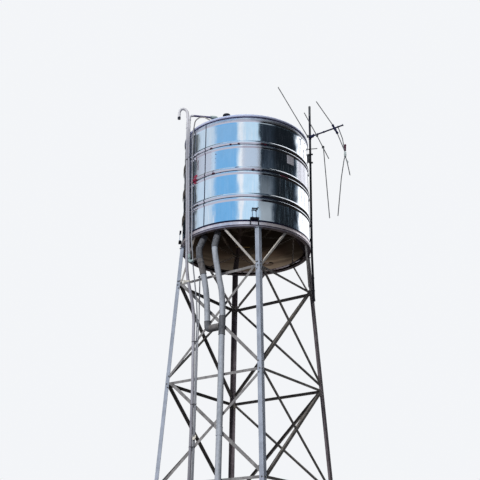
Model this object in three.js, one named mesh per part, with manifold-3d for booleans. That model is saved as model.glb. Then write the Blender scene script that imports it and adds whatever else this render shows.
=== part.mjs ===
// Elevated stainless steel water tank on a four-legged angle-iron tower.
// Millimetres, +Z up. The origin is on the tower's axis at ground level.
// The front of the tower faces -Y.

import * as THREE from 'three';
import { mergeVertices } from 'three/addons/utils/BufferGeometryUtils.js';
import Module from 'manifold-3d';

const wasm = await Module();
wasm.setup();

// Driving dimensions

const GAP = 0.3;                  // clearance between touching pieces
const ROUND = 36;                 // sides of every body turned about the tower's axis

const RING_Z0 = 6852;             // underside of the support ring
const RING_Z1 = 6965;             // top edge of the support ring
const RING_R = 1050;              // outer radius of the ring's web
const RING_WEB = 6;
const RING_LEDGE_R = 985;         // inner radius of the ring's ledge
const RING_LEDGE_T = 8;

const SHELL_R = 1043.7;           // outer radius of the shell between its beads
const SHELL_T = 4;
const BEAD_R = 1057;              // outer radius of the rolled beads
const JOINT_Z = [7355, 7815, 8280];   // joints between the four courses
const SHELL_TOP = 8756;
const RIM_TOP = 8826;
const RIM_R = 1055;
const ROOF_RISE = 165;

const DISH_CENTRE_Z = 6755;       // lowest point of the dished bottom
const DISH_DEPTH = 145;
const DISH_R = 1030;

const TURN = THREE.MathUtils.degToRad(10.39);   // plan angle of the front leg off the front
const HEEL_R_DATUM = 1068;        // radius of a leg's heel at the datum height
const DATUM_Z = 6850;
const BATTER = 0.0702;            // outward lean of a leg, radius per height
const LEG_W = 70;
const LEG_T = 6;
const CAP_T = 8;
const BASE_W = 260;
const BASE_T = 12;

const LEVELS = [6213, 4627, 3143, 1577, 11];   // heights of the girts from the top, then the foot
const BRACE_W = 40;
const BRACE_T = 4;
const BRACE_DEPTH = LEG_T + GAP;  // braces lie against the inside of the leg flanges
const KNEE_Z = 6272;              // height of the knee braces' lower ends
const KNEE_W = 30;

const THICK_R = 44.5;             // outer radius of the two thick pipes
const VENT_R = 24;
const OVERFLOW_R = 16.7;
const HOSE_R = 10;
const MAST_R = 19;
const BOOM_R = 13;

// Looks of the pieces

const paint = (color, roughness, metalness) =>
  new THREE.MeshStandardMaterial({ color, roughness, metalness });
const STAINLESS = paint(0xc8d2dc, 0.08, 1.0);
const RIM_STEEL = paint(0xc4c0d2, 0.22, 1.0);
const GALVANISED = paint(0xa9b0b8, 0.5, 0.7);
const DULL_STEEL = paint(0x9a958c, 0.6, 0.6);
const BLACK_STEEL = paint(0x1d1d20, 0.5, 0.5);
const GREY_PVC = paint(0x9aa1a8, 0.45, 0.0);
const PALE_PVC = paint(0xb9bfd0, 0.4, 0.0);
const HOSE = paint(0xb5b3a6, 0.6, 0.0);
const BLACK_PLASTIC = paint(0x18181a, 0.5, 0.0);
const ALUMINIUM = paint(0x83868a, 0.4, 0.9);

const root = new THREE.Group();

function addNode(name, solid, material, placement) {
  const data = solid.getMesh();
  const geometry = new THREE.BufferGeometry();
  geometry.setAttribute('position', new THREE.BufferAttribute(new Float32Array(data.vertProperties), 3));
  geometry.setIndex(new THREE.BufferAttribute(new Uint32Array(data.triVerts), 1));
  geometry.computeVertexNormals();
  const mesh = new THREE.Mesh(geometry, material);
  if (placement) mesh.applyMatrix4(placement);
  mesh.name = name;
  root.add(mesh);
}

function toSolid(geometry) {
  const bare = geometry.clone();
  bare.deleteAttribute('normal');
  bare.deleteAttribute('uv');
  const merged = mergeVertices(bare, 1e-3);
  return new wasm.Manifold(new wasm.Mesh({
    numProp: 3,
    vertProperties: new Float32Array(merged.attributes.position.array),
    triVerts: new Uint32Array(merged.index.array),
  }));
}

const v3 = (x, y, z) => new THREE.Vector3(x, y, z);
const move = (point, ...steps) => {
  const result = point.clone();
  for (const [direction, length] of steps) result.addScaledVector(direction, length);
  return result;
};
const union = (solids) => solids.reduce((all, solid) => all.add(solid));

// A box about a centre, its sides sx, sy and sz along three square directions.
function orientedBox(centre, ex, ey, ez, sx, sy, sz) {
  const geometry = new THREE.BoxGeometry(sx, sy, sz);
  const rightHanded = ex.clone().cross(ey).dot(ez) > 0;
  const basis = new THREE.Matrix4().makeBasis(rightHanded ? ex : ex.clone().negate(), ey, ez);
  basis.setPosition(centre);
  geometry.applyMatrix4(basis);
  return toSolid(geometry);
}

// A body turned about the tower's axis from a closed profile of [radius, height] points.
function turned(profile) {
  const points = profile.map(([r, z]) => new THREE.Vector2(r, z));
  const closed = profile[0][0] > 0;
  if (closed) points.push(points[0].clone());
  const geometry = new THREE.LatheGeometry(points, ROUND);
  geometry.rotateX(Math.PI / 2);
  const solid = toSolid(geometry);
  if (solid.volume() > 0) return solid;
  const index = geometry.index.array;
  for (let i = 0; i < index.length; i += 3) {
    const first = index[i];
    index[i] = index[i + 1];
    index[i + 1] = first;
  }
  return toSolid(geometry);
}

// A polyline as a curve: the sections of a sweep stand exactly on its vertices.
class VertexPath extends THREE.Curve {
  constructor(vertices) {
    super();
    this.vertices = vertices;
  }
  at(u) {
    return Math.round(u * (this.vertices.length - 1));
  }
  getPoint(t) {
    return this.vertices[this.at(t)].clone();
  }
  getPointAt(u) {
    return this.getPoint(u);
  }
  getTangentAt(u) {
    const i = this.at(u);
    const last = this.vertices.length - 1;
    const before = this.vertices[Math.max(i - 1, 0)];
    const after = this.vertices[Math.min(i + 1, last)];
    const here = this.vertices[i];
    const a = i > 0 ? here.clone().sub(before).normalize() : after.clone().sub(here).normalize();
    const b = i < last ? after.clone().sub(here).normalize() : a.clone();
    return a.add(b).normalize();
  }
  getTangent(t) {
    return this.getTangentAt(t);
  }
}

// Rounds the sharp corners of a route given as [x, y, z] points.
function roundedRoute(points, radius) {
  const corners = points.map((p) => v3(...p));
  const vertices = [corners[0]];
  for (let i = 1; i < corners.length - 1; i += 1) {
    const toPrevious = corners[i - 1].clone().sub(corners[i]);
    const toNext = corners[i + 1].clone().sub(corners[i]);
    const bend = Math.PI - toPrevious.angleTo(toNext);
    if (bend < 0.2) {
      vertices.push(corners[i]);
      continue;
    }
    const wanted = radius * Math.tan(bend / 2);
    const cut = Math.min(wanted, toPrevious.length() * 0.45, toNext.length() * 0.45);
    const start = move(corners[i], [toPrevious.normalize(), cut]);
    const end = move(corners[i], [toNext.normalize(), cut]);
    const arc = new THREE.QuadraticBezierCurve3(start, corners[i], end);
    const steps = bend > 0.8 ? 5 : 3;
    for (let k = 0; k <= steps; k += 1) vertices.push(arc.getPoint(k / steps));
  }
  vertices.push(corners[corners.length - 1]);
  return vertices;
}

function sweep(points, radius, bendRadius, sides = 10) {
  const outline = new THREE.Shape();
  for (let i = 0; i < sides; i += 1) {
    const angle = (i / sides) * Math.PI * 2;
    const x = radius * Math.cos(angle);
    const y = radius * Math.sin(angle);
    if (i === 0) outline.moveTo(x, y);
    else outline.lineTo(x, y);
  }
  const vertices = roundedRoute(points, bendRadius);
  const geometry = new THREE.ExtrudeGeometry(outline, {
    steps: vertices.length - 1,
    curveSegments: 1,
    extrudePath: new VertexPath(vertices),
  });
  return toSolid(geometry);
}

// The tower's corners and faces. Corner 0 is the front leg, then right, back and left.
// Face i lies between corner i and corner i + 1.

const CORNER_NAMES = ['front', 'right', 'back', 'left'];
const FACE_NAMES = ['front_right', 'back_right', 'back_left', 'front_left'];
const cornerAngle = (i) => -Math.PI / 2 + TURN + (i * Math.PI) / 2;

function heel(i, z) {
  const r = HEEL_R_DATUM + BATTER * (DATUM_Z - z);
  return v3(r * Math.cos(cornerAngle(i)), r * Math.sin(cornerAngle(i)), z);
}

function faceFrame(i) {
  const along = heel(i + 1, 0).sub(heel(i, 0)).normalize();
  const angle = cornerAngle(i) + Math.PI / 4;
  const level = v3(Math.cos(angle), Math.sin(angle), 0);
  const lean = BATTER * Math.SQRT1_2;
  const out = v3(level.x, level.y, lean).normalize();
  const up = v3(-level.x * lean, -level.y * lean, 1).normalize();
  return { along, out, up };
}

// A point on face i at a height, measured from corner i (or from corner i + 1 when far is set).
function facePoint(i, z, distance, far = false) {
  const { along } = faceFrame(i);
  return far ? move(heel(i + 1, z), [along, -distance]) : move(heel(i, z), [along, distance]);
}

// An equal angle bar between two points, its flat side turned toward a direction.
// Its second flange points away from it at the upper edge and is coped at both ends.
function angleBar(start, end, out, width, cope) {
  const direction = end.clone().sub(start);
  const length = direction.length();
  direction.normalize();
  const normal = move(out, [direction, -out.dot(direction)]).normalize();
  const across = normal.clone().cross(direction).normalize();
  const upper = across.z > 0 ? 1 : -1;
  const middle = start.clone().add(end).multiplyScalar(0.5);
  const flat = orientedBox(move(middle, [normal, -BRACE_T / 2]),
    direction, across, normal, length, width, BRACE_T);
  const flange = orientedBox(
    move(middle, [normal, -width / 2], [across, (upper * (width - BRACE_T)) / 2]),
    direction, across, normal, length - 2 * cope, BRACE_T, width);
  return flat.add(flange);
}

// Support ring: a rolled angle whose inward ledge carries the shell's bottom edge.

const ringInner = RING_R - RING_WEB;
addNode('support_ring', turned([
  [RING_LEDGE_R, RING_Z0],
  [RING_R, RING_Z0],
  [RING_R, RING_Z1],
  [ringInner, RING_Z1],
  [ringInner, RING_Z0 + RING_LEDGE_T],
  [RING_LEDGE_R, RING_Z0 + RING_LEDGE_T],
]), RIM_STEEL);

// Shell courses, with a rolled bead at each side of each joint.

function beadPoints(centre) {
  return [
    [SHELL_R, centre - 32],
    [BEAD_R, centre - 17],
    [BEAD_R, centre + 17],
    [SHELL_R, centre + 32],
  ];
}

const courseEdges = [RING_Z0 + RING_LEDGE_T, ...JOINT_Z, SHELL_TOP];
for (let i = 0; i < 4; i += 1) {
  const bottom = courseEdges[i] + GAP;
  const top = courseEdges[i + 1];
  const outer = [[SHELL_R, bottom]];
  if (i > 0) outer.push(...beadPoints(bottom + 35));
  if (i < 3) outer.push(...beadPoints(top - 35));
  outer.push([SHELL_R, top]);
  outer.push([SHELL_R - SHELL_T, top]);
  outer.push([SHELL_R - SHELL_T, bottom]);
  addNode(`tank_shell_course_${i + 1}`, turned(outer), STAINLESS);
}

// Roof: a rolled rim and a shallow cone.

const roofZ = (r) => RIM_TOP + 4 + (ROOF_RISE * (1040 - r)) / 1040;
const roof = turned([
  [0, roofZ(0)],
  [520, roofZ(520)],
  [1040, roofZ(1040)],
  [RIM_R, RIM_TOP - 6],
  [RIM_R, SHELL_TOP + 12],
  [SHELL_R, SHELL_TOP + GAP],
  [SHELL_R - SHELL_T - 4, SHELL_TOP + GAP],
  [SHELL_R - SHELL_T - 4, RIM_TOP - 10],
  [520, roofZ(520) - 5],
  [0, roofZ(0) - 5],
]);
addNode('tank_roof', roof, RIM_STEEL);
const roofKeepout = turned([
  [0, roofZ(0) + GAP],
  [1040, roofZ(1040) + GAP],
  [RIM_R + GAP, RIM_TOP - 6],
  [RIM_R + GAP, SHELL_TOP],
  [0, SHELL_TOP],
]);

// Vent cap on the roof near its front edge.

const capX = -318;
const capY = -858;
const capNeck = new THREE.CylinderGeometry(30, 30, 100, 16);
capNeck.rotateX(Math.PI / 2);
capNeck.translate(capX, capY, 8852);
const capHead = new THREE.CylinderGeometry(59, 62, 33, 20);
capHead.rotateX(Math.PI / 2);
capHead.translate(capX, capY, 8914);
addNode('roof_vent_cap', toSolid(capNeck).add(toSolid(capHead)).subtract(roofKeepout), BLACK_PLASTIC);

// Dished bottom with a short flange inside the lowest course.

const dishZ = (r) => DISH_CENTRE_Z + DISH_DEPTH * (r / DISH_R) ** 2;
const dishRadii = [0, 360, 640, 860, 985, DISH_R];
const flangeR = SHELL_R - SHELL_T - GAP;
addNode('tank_bottom', turned([
  ...dishRadii.map((r) => [r, dishZ(r)]),
  [flangeR, dishZ(DISH_R) + 12],
  [flangeR, dishZ(DISH_R) + 45],
  [flangeR - 4, dishZ(DISH_R) + 45],
  [flangeR - 4, dishZ(DISH_R) + 14],
  ...dishRadii.slice().reverse().map((r) => [r === DISH_R ? DISH_R - 2 : r, dishZ(r) + 4]),
]), STAINLESS);
const dishKeepout = turned([
  ...dishRadii.map((r) => [r, dishZ(r) - GAP]),
  [DISH_R, 7050],
  [0, 7050],
]);

// Legs: angle iron with the heel outward, a base plate and a cap plate.

const legTop = RING_Z0 - GAP;
for (let i = 0; i < 4; i += 1) {
  const toNext = faceFrame(i).along;
  const toPrevious = faceFrame((i + 3) % 4).along.clone().negate();
  const foot = heel(i, BASE_T / 2);
  const outline = new THREE.Shape();
  const corner = (a, b) => {
    const p = move(v3(0, 0, 0), [toNext, a], [toPrevious, b]);
    return [p.x, p.y];
  };
  outline.moveTo(...corner(0, 0));
  outline.lineTo(...corner(LEG_W, 0));
  outline.lineTo(...corner(LEG_W, LEG_T));
  outline.lineTo(...corner(LEG_T, LEG_T));
  outline.lineTo(...corner(LEG_T, LEG_W));
  outline.lineTo(...corner(0, LEG_W));
  outline.closePath();
  const height = legTop - CAP_T / 2 - foot.z;
  const angle = new THREE.ExtrudeGeometry(outline, { depth: height, bevelEnabled: false });
  const lean = heel(i, foot.z + height).sub(foot).divideScalar(height);
  angle.applyMatrix4(new THREE.Matrix4().set(
    1, 0, lean.x, foot.x,
    0, 1, lean.y, foot.y,
    0, 0, 1, foot.z,
    0, 0, 0, 1,
  ));
  const up = v3(0, 0, 1);
  const side = up.clone().cross(toNext);
  const baseCentre = move(heel(i, 0), [toNext, LEG_W / 2], [toPrevious, LEG_W / 2]);
  baseCentre.z = BASE_T / 2;
  const capCentre = move(heel(i, legTop), [toNext, LEG_W / 2], [toPrevious, LEG_W / 2]);
  capCentre.z = legTop - CAP_T / 2;
  addNode(`leg_${CORNER_NAMES[i]}`, union([
    toSolid(angle),
    orientedBox(baseCentre, toNext, side, up, BASE_W, BASE_W, BASE_T),
    orientedBox(capCentre, toNext, side, up, LEG_W + 24, LEG_W + 24, CAP_T),
  ]), GALVANISED);
}

// Bracing: in each bay of each face a girt at the top and crossed diagonals below it.
// It is laid out flat, x along the face, y up the face and z out of it, and then stood in
// the face's plane. The ends lie on the insides of the leg flanges, joined by end plates.
// A diagonal that would run past a girt is cut off there.

function flatBox(x, y, z, sx, sy, sz, turn = 0) {
  const geometry = new THREE.BoxGeometry(sx, sy, sz);
  geometry.translate(x, y, z);
  if (turn) geometry.rotateZ(turn);
  return geometry;
}

function flatBar([x0, y0], [x1, y1], cope) {
  const length = Math.hypot(x1 - x0, y1 - y0);
  const turn = Math.atan2(y1 - y0, x1 - x0);
  const middle = [(x0 + x1) / 2, (y0 + y1) / 2, 0];
  const upper = Math.cos(turn) > 0 ? 1 : -1;
  const flat = flatBox(0, 0, -BRACE_DEPTH - BRACE_T / 2, length, BRACE_W, BRACE_T, turn);
  const flange = flatBox(0, (upper * (BRACE_W - BRACE_T)) / 2, -BRACE_DEPTH - BRACE_W / 2,
    length - 2 * cope, BRACE_T, BRACE_W, turn);
  return toSolid(flat.translate(...middle)).add(toSolid(flange.translate(...middle)));
}

const END_INSET = 45;
const halfWidth = (z) => (HEEL_R_DATUM + BATTER * (DATUM_Z - z)) * Math.SQRT1_2;
const slopeLength = Math.hypot(1, BATTER * Math.SQRT1_2);

// How far the rising and the falling diagonal of each bay end above the girt below them and
// the girt above them.
const DIAGONAL_ENDS = [
  { rising: [105, 47], falling: [105, 47] },
  { rising: [-25, 0], falling: [-25, 0] },
  { rising: [60, -40], falling: [60, -40] },
  { rising: [80, -40], falling: [80, -40] },
];
const LEFT_FRONT_SECOND_BAY = { rising: [-62, -55], falling: [64, 44] };

function flatPanel(bay, ends) {
  const high = LEVELS[bay];
  const low = LEVELS[bay + 1];
  const place = (z, side) => [side * (halfWidth(z) - END_INSET), (z - high) * slopeLength];
  const girtHalf = halfWidth(high) - 12;
  const plateX = halfWidth(high - 32) - 41;
  const top = BRACE_W / 2 - 3;
  const bottom = (low - high) * slopeLength + BRACE_W / 2 + GAP;
  const between = toSolid(flatBox(0, (top + bottom) / 2, 0, 4000, top - bottom, 200));
  const rising = flatBar(place(low + ends.rising[0], -1), place(high + ends.rising[1], 1), 48);
  const falling = flatBar(place(high + ends.falling[1], -1), place(low + ends.falling[0], 1), 48);
  const pieces = [
    flatBar([-girtHalf, 0], [girtHalf, 0], 52),
    rising.intersect(between),
    falling.intersect(between),
  ];
  for (const x of [-plateX, plateX]) {
    pieces.push(toSolid(flatBox(x, -32 * slopeLength, -BRACE_DEPTH - BRACE_T / 2, 56, 100, BRACE_T)));
  }
  return union(pieces);
}

for (let bay = 0; bay < DIAGONAL_ENDS.length; bay += 1) {
  for (let i = 0; i < 4; i += 1) {
    const ownEnds = bay === 1 && FACE_NAMES[i] === 'front_left';
    const panel = flatPanel(bay, ownEnds ? LEFT_FRONT_SECOND_BAY : DIAGONAL_ENDS[bay]);
    const { along, out, up } = faceFrame(i);
    const middle = heel(i, LEVELS[bay]).add(heel(i + 1, LEVELS[bay])).multiplyScalar(0.5);
    const stand = new THREE.Matrix4().makeBasis(along, up, out).setPosition(middle);
    addNode(`bracing_${FACE_NAMES[i]}_bay_${bay + 1}`, panel, DULL_STEEL, stand);
  }
}

// Knee braces: from each leg, just above the top girts, out to the underside of the ring.

const belowRing = toSolid(new THREE.BoxGeometry(4000, 4000, 2000).translate(0, 0, legTop - 1000));
const KNEE_SPREADS = { a: 27, b: 29.5 };      // from the leg's own angle, in degrees
for (let i = 0; i < 4; i += 1) {
  for (const side of [-1, 1]) {
    const hand = side > 0 ? 'a' : 'b';
    const face = side > 0 ? i : (i + 3) % 4;
    const far = side < 0;
    const { along, out, up } = faceFrame(face);
    const plate = move(facePoint(face, KNEE_Z, 57, far), [out, -BRACE_DEPTH - 2.5]);
    const start = move(facePoint(face, KNEE_Z, 95, far), [out, -BRACE_DEPTH - 0.5]);
    const angle = cornerAngle(i) + side * THREE.MathUtils.degToRad(KNEE_SPREADS[hand]);
    const end = v3(1015 * Math.cos(angle), 1015 * Math.sin(angle), legTop);
    const direction = end.clone().sub(start).normalize();
    const bar = angleBar(move(start, [direction, -12]), move(end, [direction, 50]), out, KNEE_W, 40);
    addNode(`knee_brace_${CORNER_NAMES[i]}_${hand}`, union([
      orientedBox(plate, along, up, out, 86, 50, 5),
      bar,
    ]).intersect(belowRing), DULL_STEEL);
  }
}

// Hold-down clamps over the ring beside each leg.

for (let i = 0; i < 4; i += 1) {
  const angle = cornerAngle(i) - THREE.MathUtils.degToRad(3.4);
  const out = v3(Math.cos(angle), Math.sin(angle), 0);
  const across = v3(-Math.sin(angle), Math.cos(angle), 0);
  const up = v3(0, 0, 1);
  const place = (a, r, z, sa, sr, sz) =>
    orientedBox(move(v3(0, 0, z), [out, r], [across, a]), across, out, up, sa, sr, sz);
  addNode(`hold_down_clamp_${CORNER_NAMES[i]}`, union([
    place(0, RING_R + 27, RING_Z1 + 14, 136, 44, 16),
    place(-62, RING_R + 4.4, RING_Z1 - 35, 16, 8, 92),
    place(62, RING_R + 4.4, RING_Z1 - 39, 16, 8, 100),
    place(-31, RING_R + 30, RING_Z1 + 100, 9, 9, 170),
    place(31, RING_R + 30, RING_Z1 + 100, 9, 9, 170),
    place(4, RING_R + 24, RING_Z1 + 178, 92, 34, 14),
  ]), BLACK_STEEL);
}

// Pipes on the left front of the tank and tower. Their lower runs lie against the braces.

const PIPE_FACE = 3;

// Axis points of a pipe that lies against the braces of the left front face, from pairs of
// [distance along the face from its middle, height].
function againstFace(radius, pairs) {
  const { along } = faceFrame(PIPE_FACE);
  return pairs.map(([distance, z]) => {
    const middle = heel(PIPE_FACE, z).add(heel(PIPE_FACE + 1, z)).multiplyScalar(0.5);
    const level = v3(middle.x, middle.y, 0).normalize();
    return move(middle, [level, radius - LEG_T + 0.5], [along, distance]).toArray();
  });
}

const downPipeRoute = [
  [-425, -739, 6930], [-474, -930, 6576], [-466, -930, 6478],
  [-449, -920, 6352], [-420, -910, 6195], [-393, -890, 6043], [-362, -866, 5892],
  [-349, -830, 5749],
  ...againstFace(THICK_R, [[176, 5522], [175, 5289], [194, 4622], [222, 3168], [289, 20]]),
];
const outletRoute = [
  [-630, -571, 6930], [-717, -782, 6590], [-707, -782, 6458],
  [-657, -760, 6253], [-625, -740, 6099], [-600, -720, 5946], [-584, -692, 5793],
  [-577, -662, 5624],
  ...againstFace(THICK_R, [[-96, 5447], [-84, 5346], [30, 5346], [150, 5346]]),
];
const downPipe = sweep(downPipeRoute, THICK_R, 90, 12).subtract(dishKeepout);
const downPipeKeepout = sweep(downPipeRoute, THICK_R + 2 * GAP, 90, 12);
addNode('down_pipe', downPipe, GREY_PVC);
addNode('outlet_pipe', sweep(outletRoute, THICK_R, 90, 12)
  .subtract(dishKeepout)
  .subtract(downPipeKeepout), GREY_PVC);

const ventRoute = [
  [-1127, -470, 9085], [-1127, -470, 9215], [-1108, -470, 9270], [-1066, -470, 9292],
  [-1018, -470, 9272], [-990, -470, 9215], [-980, -470, 9100], [-974, -472, 8482],
  [-944, -529, 7544], [-926, -560, 6985],
  [-914, -580, 6489], [-906, -580, 6323], [-886, -570, 6163], [-852, -555, 6006],
  [-820, -532, 5850], [-800, -500, 5712],
  ...againstFace(VENT_R, [[-377, 5552], [-364, 5233], [-328, 4612], [-305, 3877], [-291, 3209],
    [-208, 30]]),
];
addNode('vent_pipe', sweep(ventRoute, VENT_R, 60, 10), PALE_PVC);

const overflowRoute = [
  [-478, -468, 8850], [-478, -470, 9108], [-942, -548, 9108],
  [-943, -520, 8452], [-899, -592, 7000], [-872, -640, 6515], [-868, -650, 6424], [-700, -782, 6450],
];
addNode('overflow_pipe', sweep(overflowRoute, OVERFLOW_R, 50, 10)
  .subtract(roofKeepout)
  .subtract(sweep(outletRoute, THICK_R + 2 * GAP, 90, 12)), PALE_PVC);

const hoseRoute = [
  [-560, -790, 8790], [-575, -808, 8850], [-676, -778, 8929], [-760, -739, 8958],
  [-840, -690, 8925], [-868, -624, 8780], [-876, -614, 8409], [-860, -638, 7491], [-844, -660, 6790],
  [-824, -660, 6590], [-811, -650, 6378], [-783, -630, 6140], [-765, -600, 5989],
  [-748, -560, 5839],
  ...againstFace(HOSE_R, [[-323, 5547], [-319, 5228], [-293, 4610], [-270, 3876], [-256, 3208],
    [-173, 30]]),
];
addNode('level_hose', sweep(hoseRoute, HOSE_R, 60, 8).subtract(roofKeepout), HOSE);

const conduitRoute = againstFace(HOSE_R, [[-320, 6250], [-300, 5784], [-287, 5540], [-291, 5228],
  [-272, 4610], [-249, 3876], [-235, 3208], [-152, 30]]);
addNode('conduit', sweep(conduitRoute, HOSE_R, 60, 8), HOSE);

// Bent aerial on a mast at the right of the tank

const mastRoute = [
  [1108, 0, 9631], [1071.2, 0, 6915], [1072, 12, 6800], [1093.2, 156.7, 6150], [1098.6, 158.7, 6080],
];
const mast = sweep(mastRoute, MAST_R, 40, 12);
const mastKeepout = sweep(mastRoute, MAST_R + GAP, 40, 12);
const mastBracket = orientedBox(v3(1066, 0, 8600), v3(1, 0, 0), v3(0, 1, 0), v3(0, 0, 1), 42, 46, 150);
addNode('antenna_mast', mast.add(mastBracket), BLACK_STEEL);
const boomRoute = [[1075, -24, 8997], [1220, -50, 9042], [1664, -150, 9170]];
const boom = sweep(boomRoute, BOOM_R, 30, 8);
const boomKeepout = sweep(boomRoute, BOOM_R + GAP, 30, 8);
addNode('antenna_boom', boom.subtract(mastKeepout), ALUMINIUM);
addNode('antenna_element_1', sweep([[564, 0, 10034], [1090, 0, 8966]], 8, 30, 8)
  .subtract(mastKeepout).subtract(boomKeepout), ALUMINIUM);
addNode('antenna_element_2', union([
  sweep([[1009, -61, 9467], [1218, -61, 9004], [1402, -61, 8562]], 8, 30, 8),
  orientedBox(v3(1313, -61, 8788), v3(1, 0, 0), v3(0, 1, 0), v3(0, 0, 1), 36, 24, 40),
  sweep([[1318, -61, 8788], [1376, -61, 7450]], 8, 30, 8),
]).subtract(boomKeepout), ALUMINIUM);
addNode('antenna_element_3', union([
  sweep([[1216, -150, 9641], [1482, -150, 9172], [1555, -150, 9008], [1668, -150, 8652]], 8, 20, 8),
  orientedBox(v3(1520, -150, 9086), v3(0.42, 0, -0.907), v3(0, 1, 0), v3(0.907, 0, 0.42), 200, 36, 42),
  orientedBox(v3(1676, -150, 8716), v3(1, 0, 0), v3(0, 1, 0), v3(0, 0, 1), 40, 36, 150),
  orientedBox(v3(1672, -150, 8600), v3(1, 0, 0), v3(0, 1, 0), v3(0, 0, 1), 32, 30, 100),
  sweep([[1672, -150, 8560], [1700, -150, 8440], [1735, -150, 8200]], 8, 20, 8),
  sweep([[1672, -150, 8560], [1650, -150, 8500], [1588, -150, 8148], [1503, -150, 7450]], 8, 20, 8),
]).subtract(boomKeepout), ALUMINIUM);

export default root;
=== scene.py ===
"""Polished stainless steel water tank on an angle-iron tower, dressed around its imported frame.

Metres, +Z up. The origin is on the tower's axis at ground level and the front faces -Y.
"""

import math
from contextlib import contextmanager
from functools import partialmethod, reduce

import bmesh
import bpy
from mathutils import Matrix, Vector, noise


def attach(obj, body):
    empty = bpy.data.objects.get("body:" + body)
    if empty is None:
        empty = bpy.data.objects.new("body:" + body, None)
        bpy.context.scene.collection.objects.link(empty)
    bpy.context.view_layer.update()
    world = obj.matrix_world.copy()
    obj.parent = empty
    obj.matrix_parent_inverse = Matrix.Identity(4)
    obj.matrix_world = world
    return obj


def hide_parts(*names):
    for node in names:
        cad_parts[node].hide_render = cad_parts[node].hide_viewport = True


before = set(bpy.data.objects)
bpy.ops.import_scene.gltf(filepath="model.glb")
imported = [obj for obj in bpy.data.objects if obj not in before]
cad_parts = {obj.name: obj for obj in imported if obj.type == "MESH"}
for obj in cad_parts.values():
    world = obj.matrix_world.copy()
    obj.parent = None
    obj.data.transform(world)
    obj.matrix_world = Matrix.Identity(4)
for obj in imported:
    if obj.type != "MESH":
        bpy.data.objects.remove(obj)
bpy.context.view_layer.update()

UP, RIGHT, BACK, FRONT = Vector((0, 0, 1)), Vector((1, 0, 0)), Vector((0, 1, 0)), Vector((0, -1, 0))
LEVEL = (RIGHT, BACK)
ORIGIN = (0, 0, 0)


def add_object(name, data):
    made = bpy.data.objects.new(name, data)
    bpy.context.scene.collection.objects.link(made)
    return made


# Camera, at the photograph's viewing angle

FRAME_PX, FOCAL_PX, SENSOR = 480, 850, 36.0
EYE = Vector((0.0, -12.749, 1.545))
YAW, PITCH, ROLL = (math.radians(degrees) for degrees in (0.438, 23.467, 0.303))


def make_camera():
    data = bpy.data.cameras.new("camera")
    data.sensor_width = SENSOR
    data.lens = FOCAL_PX / FRAME_PX * SENSOR
    data.clip_end = 500
    camera = add_object("camera", data)
    aim = Matrix.Rotation(YAW, 4, "Z") @ Matrix.Rotation(math.pi / 2 + PITCH, 4, "X")
    camera.matrix_world = Matrix.Translation(EYE) @ aim @ Matrix.Rotation(ROLL, 4, "Z")
    bpy.context.scene.camera = camera


make_camera()

# Driving dimensions of the tank

SHELL_R, SHELL_T = 1.0437, 0.004
BEAD_R, BEAD_HALF, BEAD_OFFSET = 1.057, 0.0308, 0.0355
RING_TOP, RING_BOTTOM = 6.965, 6.852
RING_R, RING_WEB = 1.05, 0.006
RING_LEDGE_R, RING_LEDGE_T = 0.985, 0.008
COURSE_EDGES = [6.8603, 7.355, 7.815, 8.28, 8.756]
RIM_TOP = 8.826
ROOF_RISE, ROOF_R = 0.165, 1.04
DISH_CENTRE, DISH_DEPTH, DISH_R = 6.755, 0.145, 1.03
SEAM_ANGLE = math.radians(-38.6)      # the shell's upright lap, from the front toward the right
ROUND, ROUND_RIM = 256, 512
HEM = 0.045                           # height of the folded hem along the top course's upper edge

# Driving dimensions of the tower

TURN = math.radians(10.39)
HEEL_R = 1.068
DATUM = 6.85
BATTER = 0.0702
LEG_T, BRACE_T = 0.006, 0.004
BRACE_GAP = 0.0003
LEVELS = [6.213, 4.627, 3.143, 1.577, 0.011]      # the girts from the top, then the foot
END_INSET = 0.045
# How far each bay's rising and falling diagonal end above the girt below and the girt above.
DIAGONAL_ENDS = [[ends, ends] for ends in ((0.105, 0.047), (-0.025, 0.0), (0.06, -0.04), (0.08, -0.04))]
LEFT_FRONT_SECOND_BAY = ((-0.062, -0.055), (0.064, 0.044))
KNEE_Z = 6.272
CORNERS = ["front", "right", "back", "left"]
FACES = ["front_right", "back_right", "back_left", "front_left"]


def polar(radius, angle, z=0.0):
    return Vector((radius * math.cos(angle), radius * math.sin(angle), z))


def angles(count):
    return [2 * math.pi * i / count for i in range(count)]


def shares(count):
    """From nought to one in equal steps."""
    return [i / count for i in range(count + 1)]


def corner_angle(corner):
    return -math.pi / 2 + TURN + corner * math.pi / 2


def heel(corner, z):
    """The outer edge of a leg at a height."""
    return polar(HEEL_R + BATTER * (DATUM - z), corner_angle(corner), z)


def face_axes(face):
    """Along a face toward its next corner, out of it and up it."""
    along = (heel(face + 1, 0) - heel(face, 0)).normalized()
    out = polar(1, corner_angle(face) + math.pi / 4, BATTER * math.sqrt(0.5)).normalized()
    return along, out, out.cross(along).normalized()


def face_point(face, distance, z):
    """A point on a face's plane, at a distance along it from its middle."""
    return (heel(face, z) + heel(face + 1, z)) / 2 + face_axes(face)[0] * distance


# Mesh tools

def ring_frame(direction):
    side = direction.cross(UP if abs(direction.z) < 0.9 else RIGHT).normalized()
    return side, direction.cross(side).normalized()


def circle(bm, centre, side, other, radius, sides):
    """A loop of corners, or a single one where there is no radius."""
    return [bm.verts.new(centre + (side * math.cos(angle) + other * math.sin(angle)) * radius)
            for angle in angles(sides if radius else 1)]


def bridge(bm, first, second, material):
    """Faces between two loops of corners, either of which may be a single point."""
    count = max(len(first), len(second))
    for i in range(count):
        j = (i + 1) % count
        corners = []
        for loop, order in ((first, (i, j)), (second, (j, i))):
            corners += [loop[0]] if len(loop) == 1 else [loop[k] for k in order]
        bm.faces.new(corners).material_index = material


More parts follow.
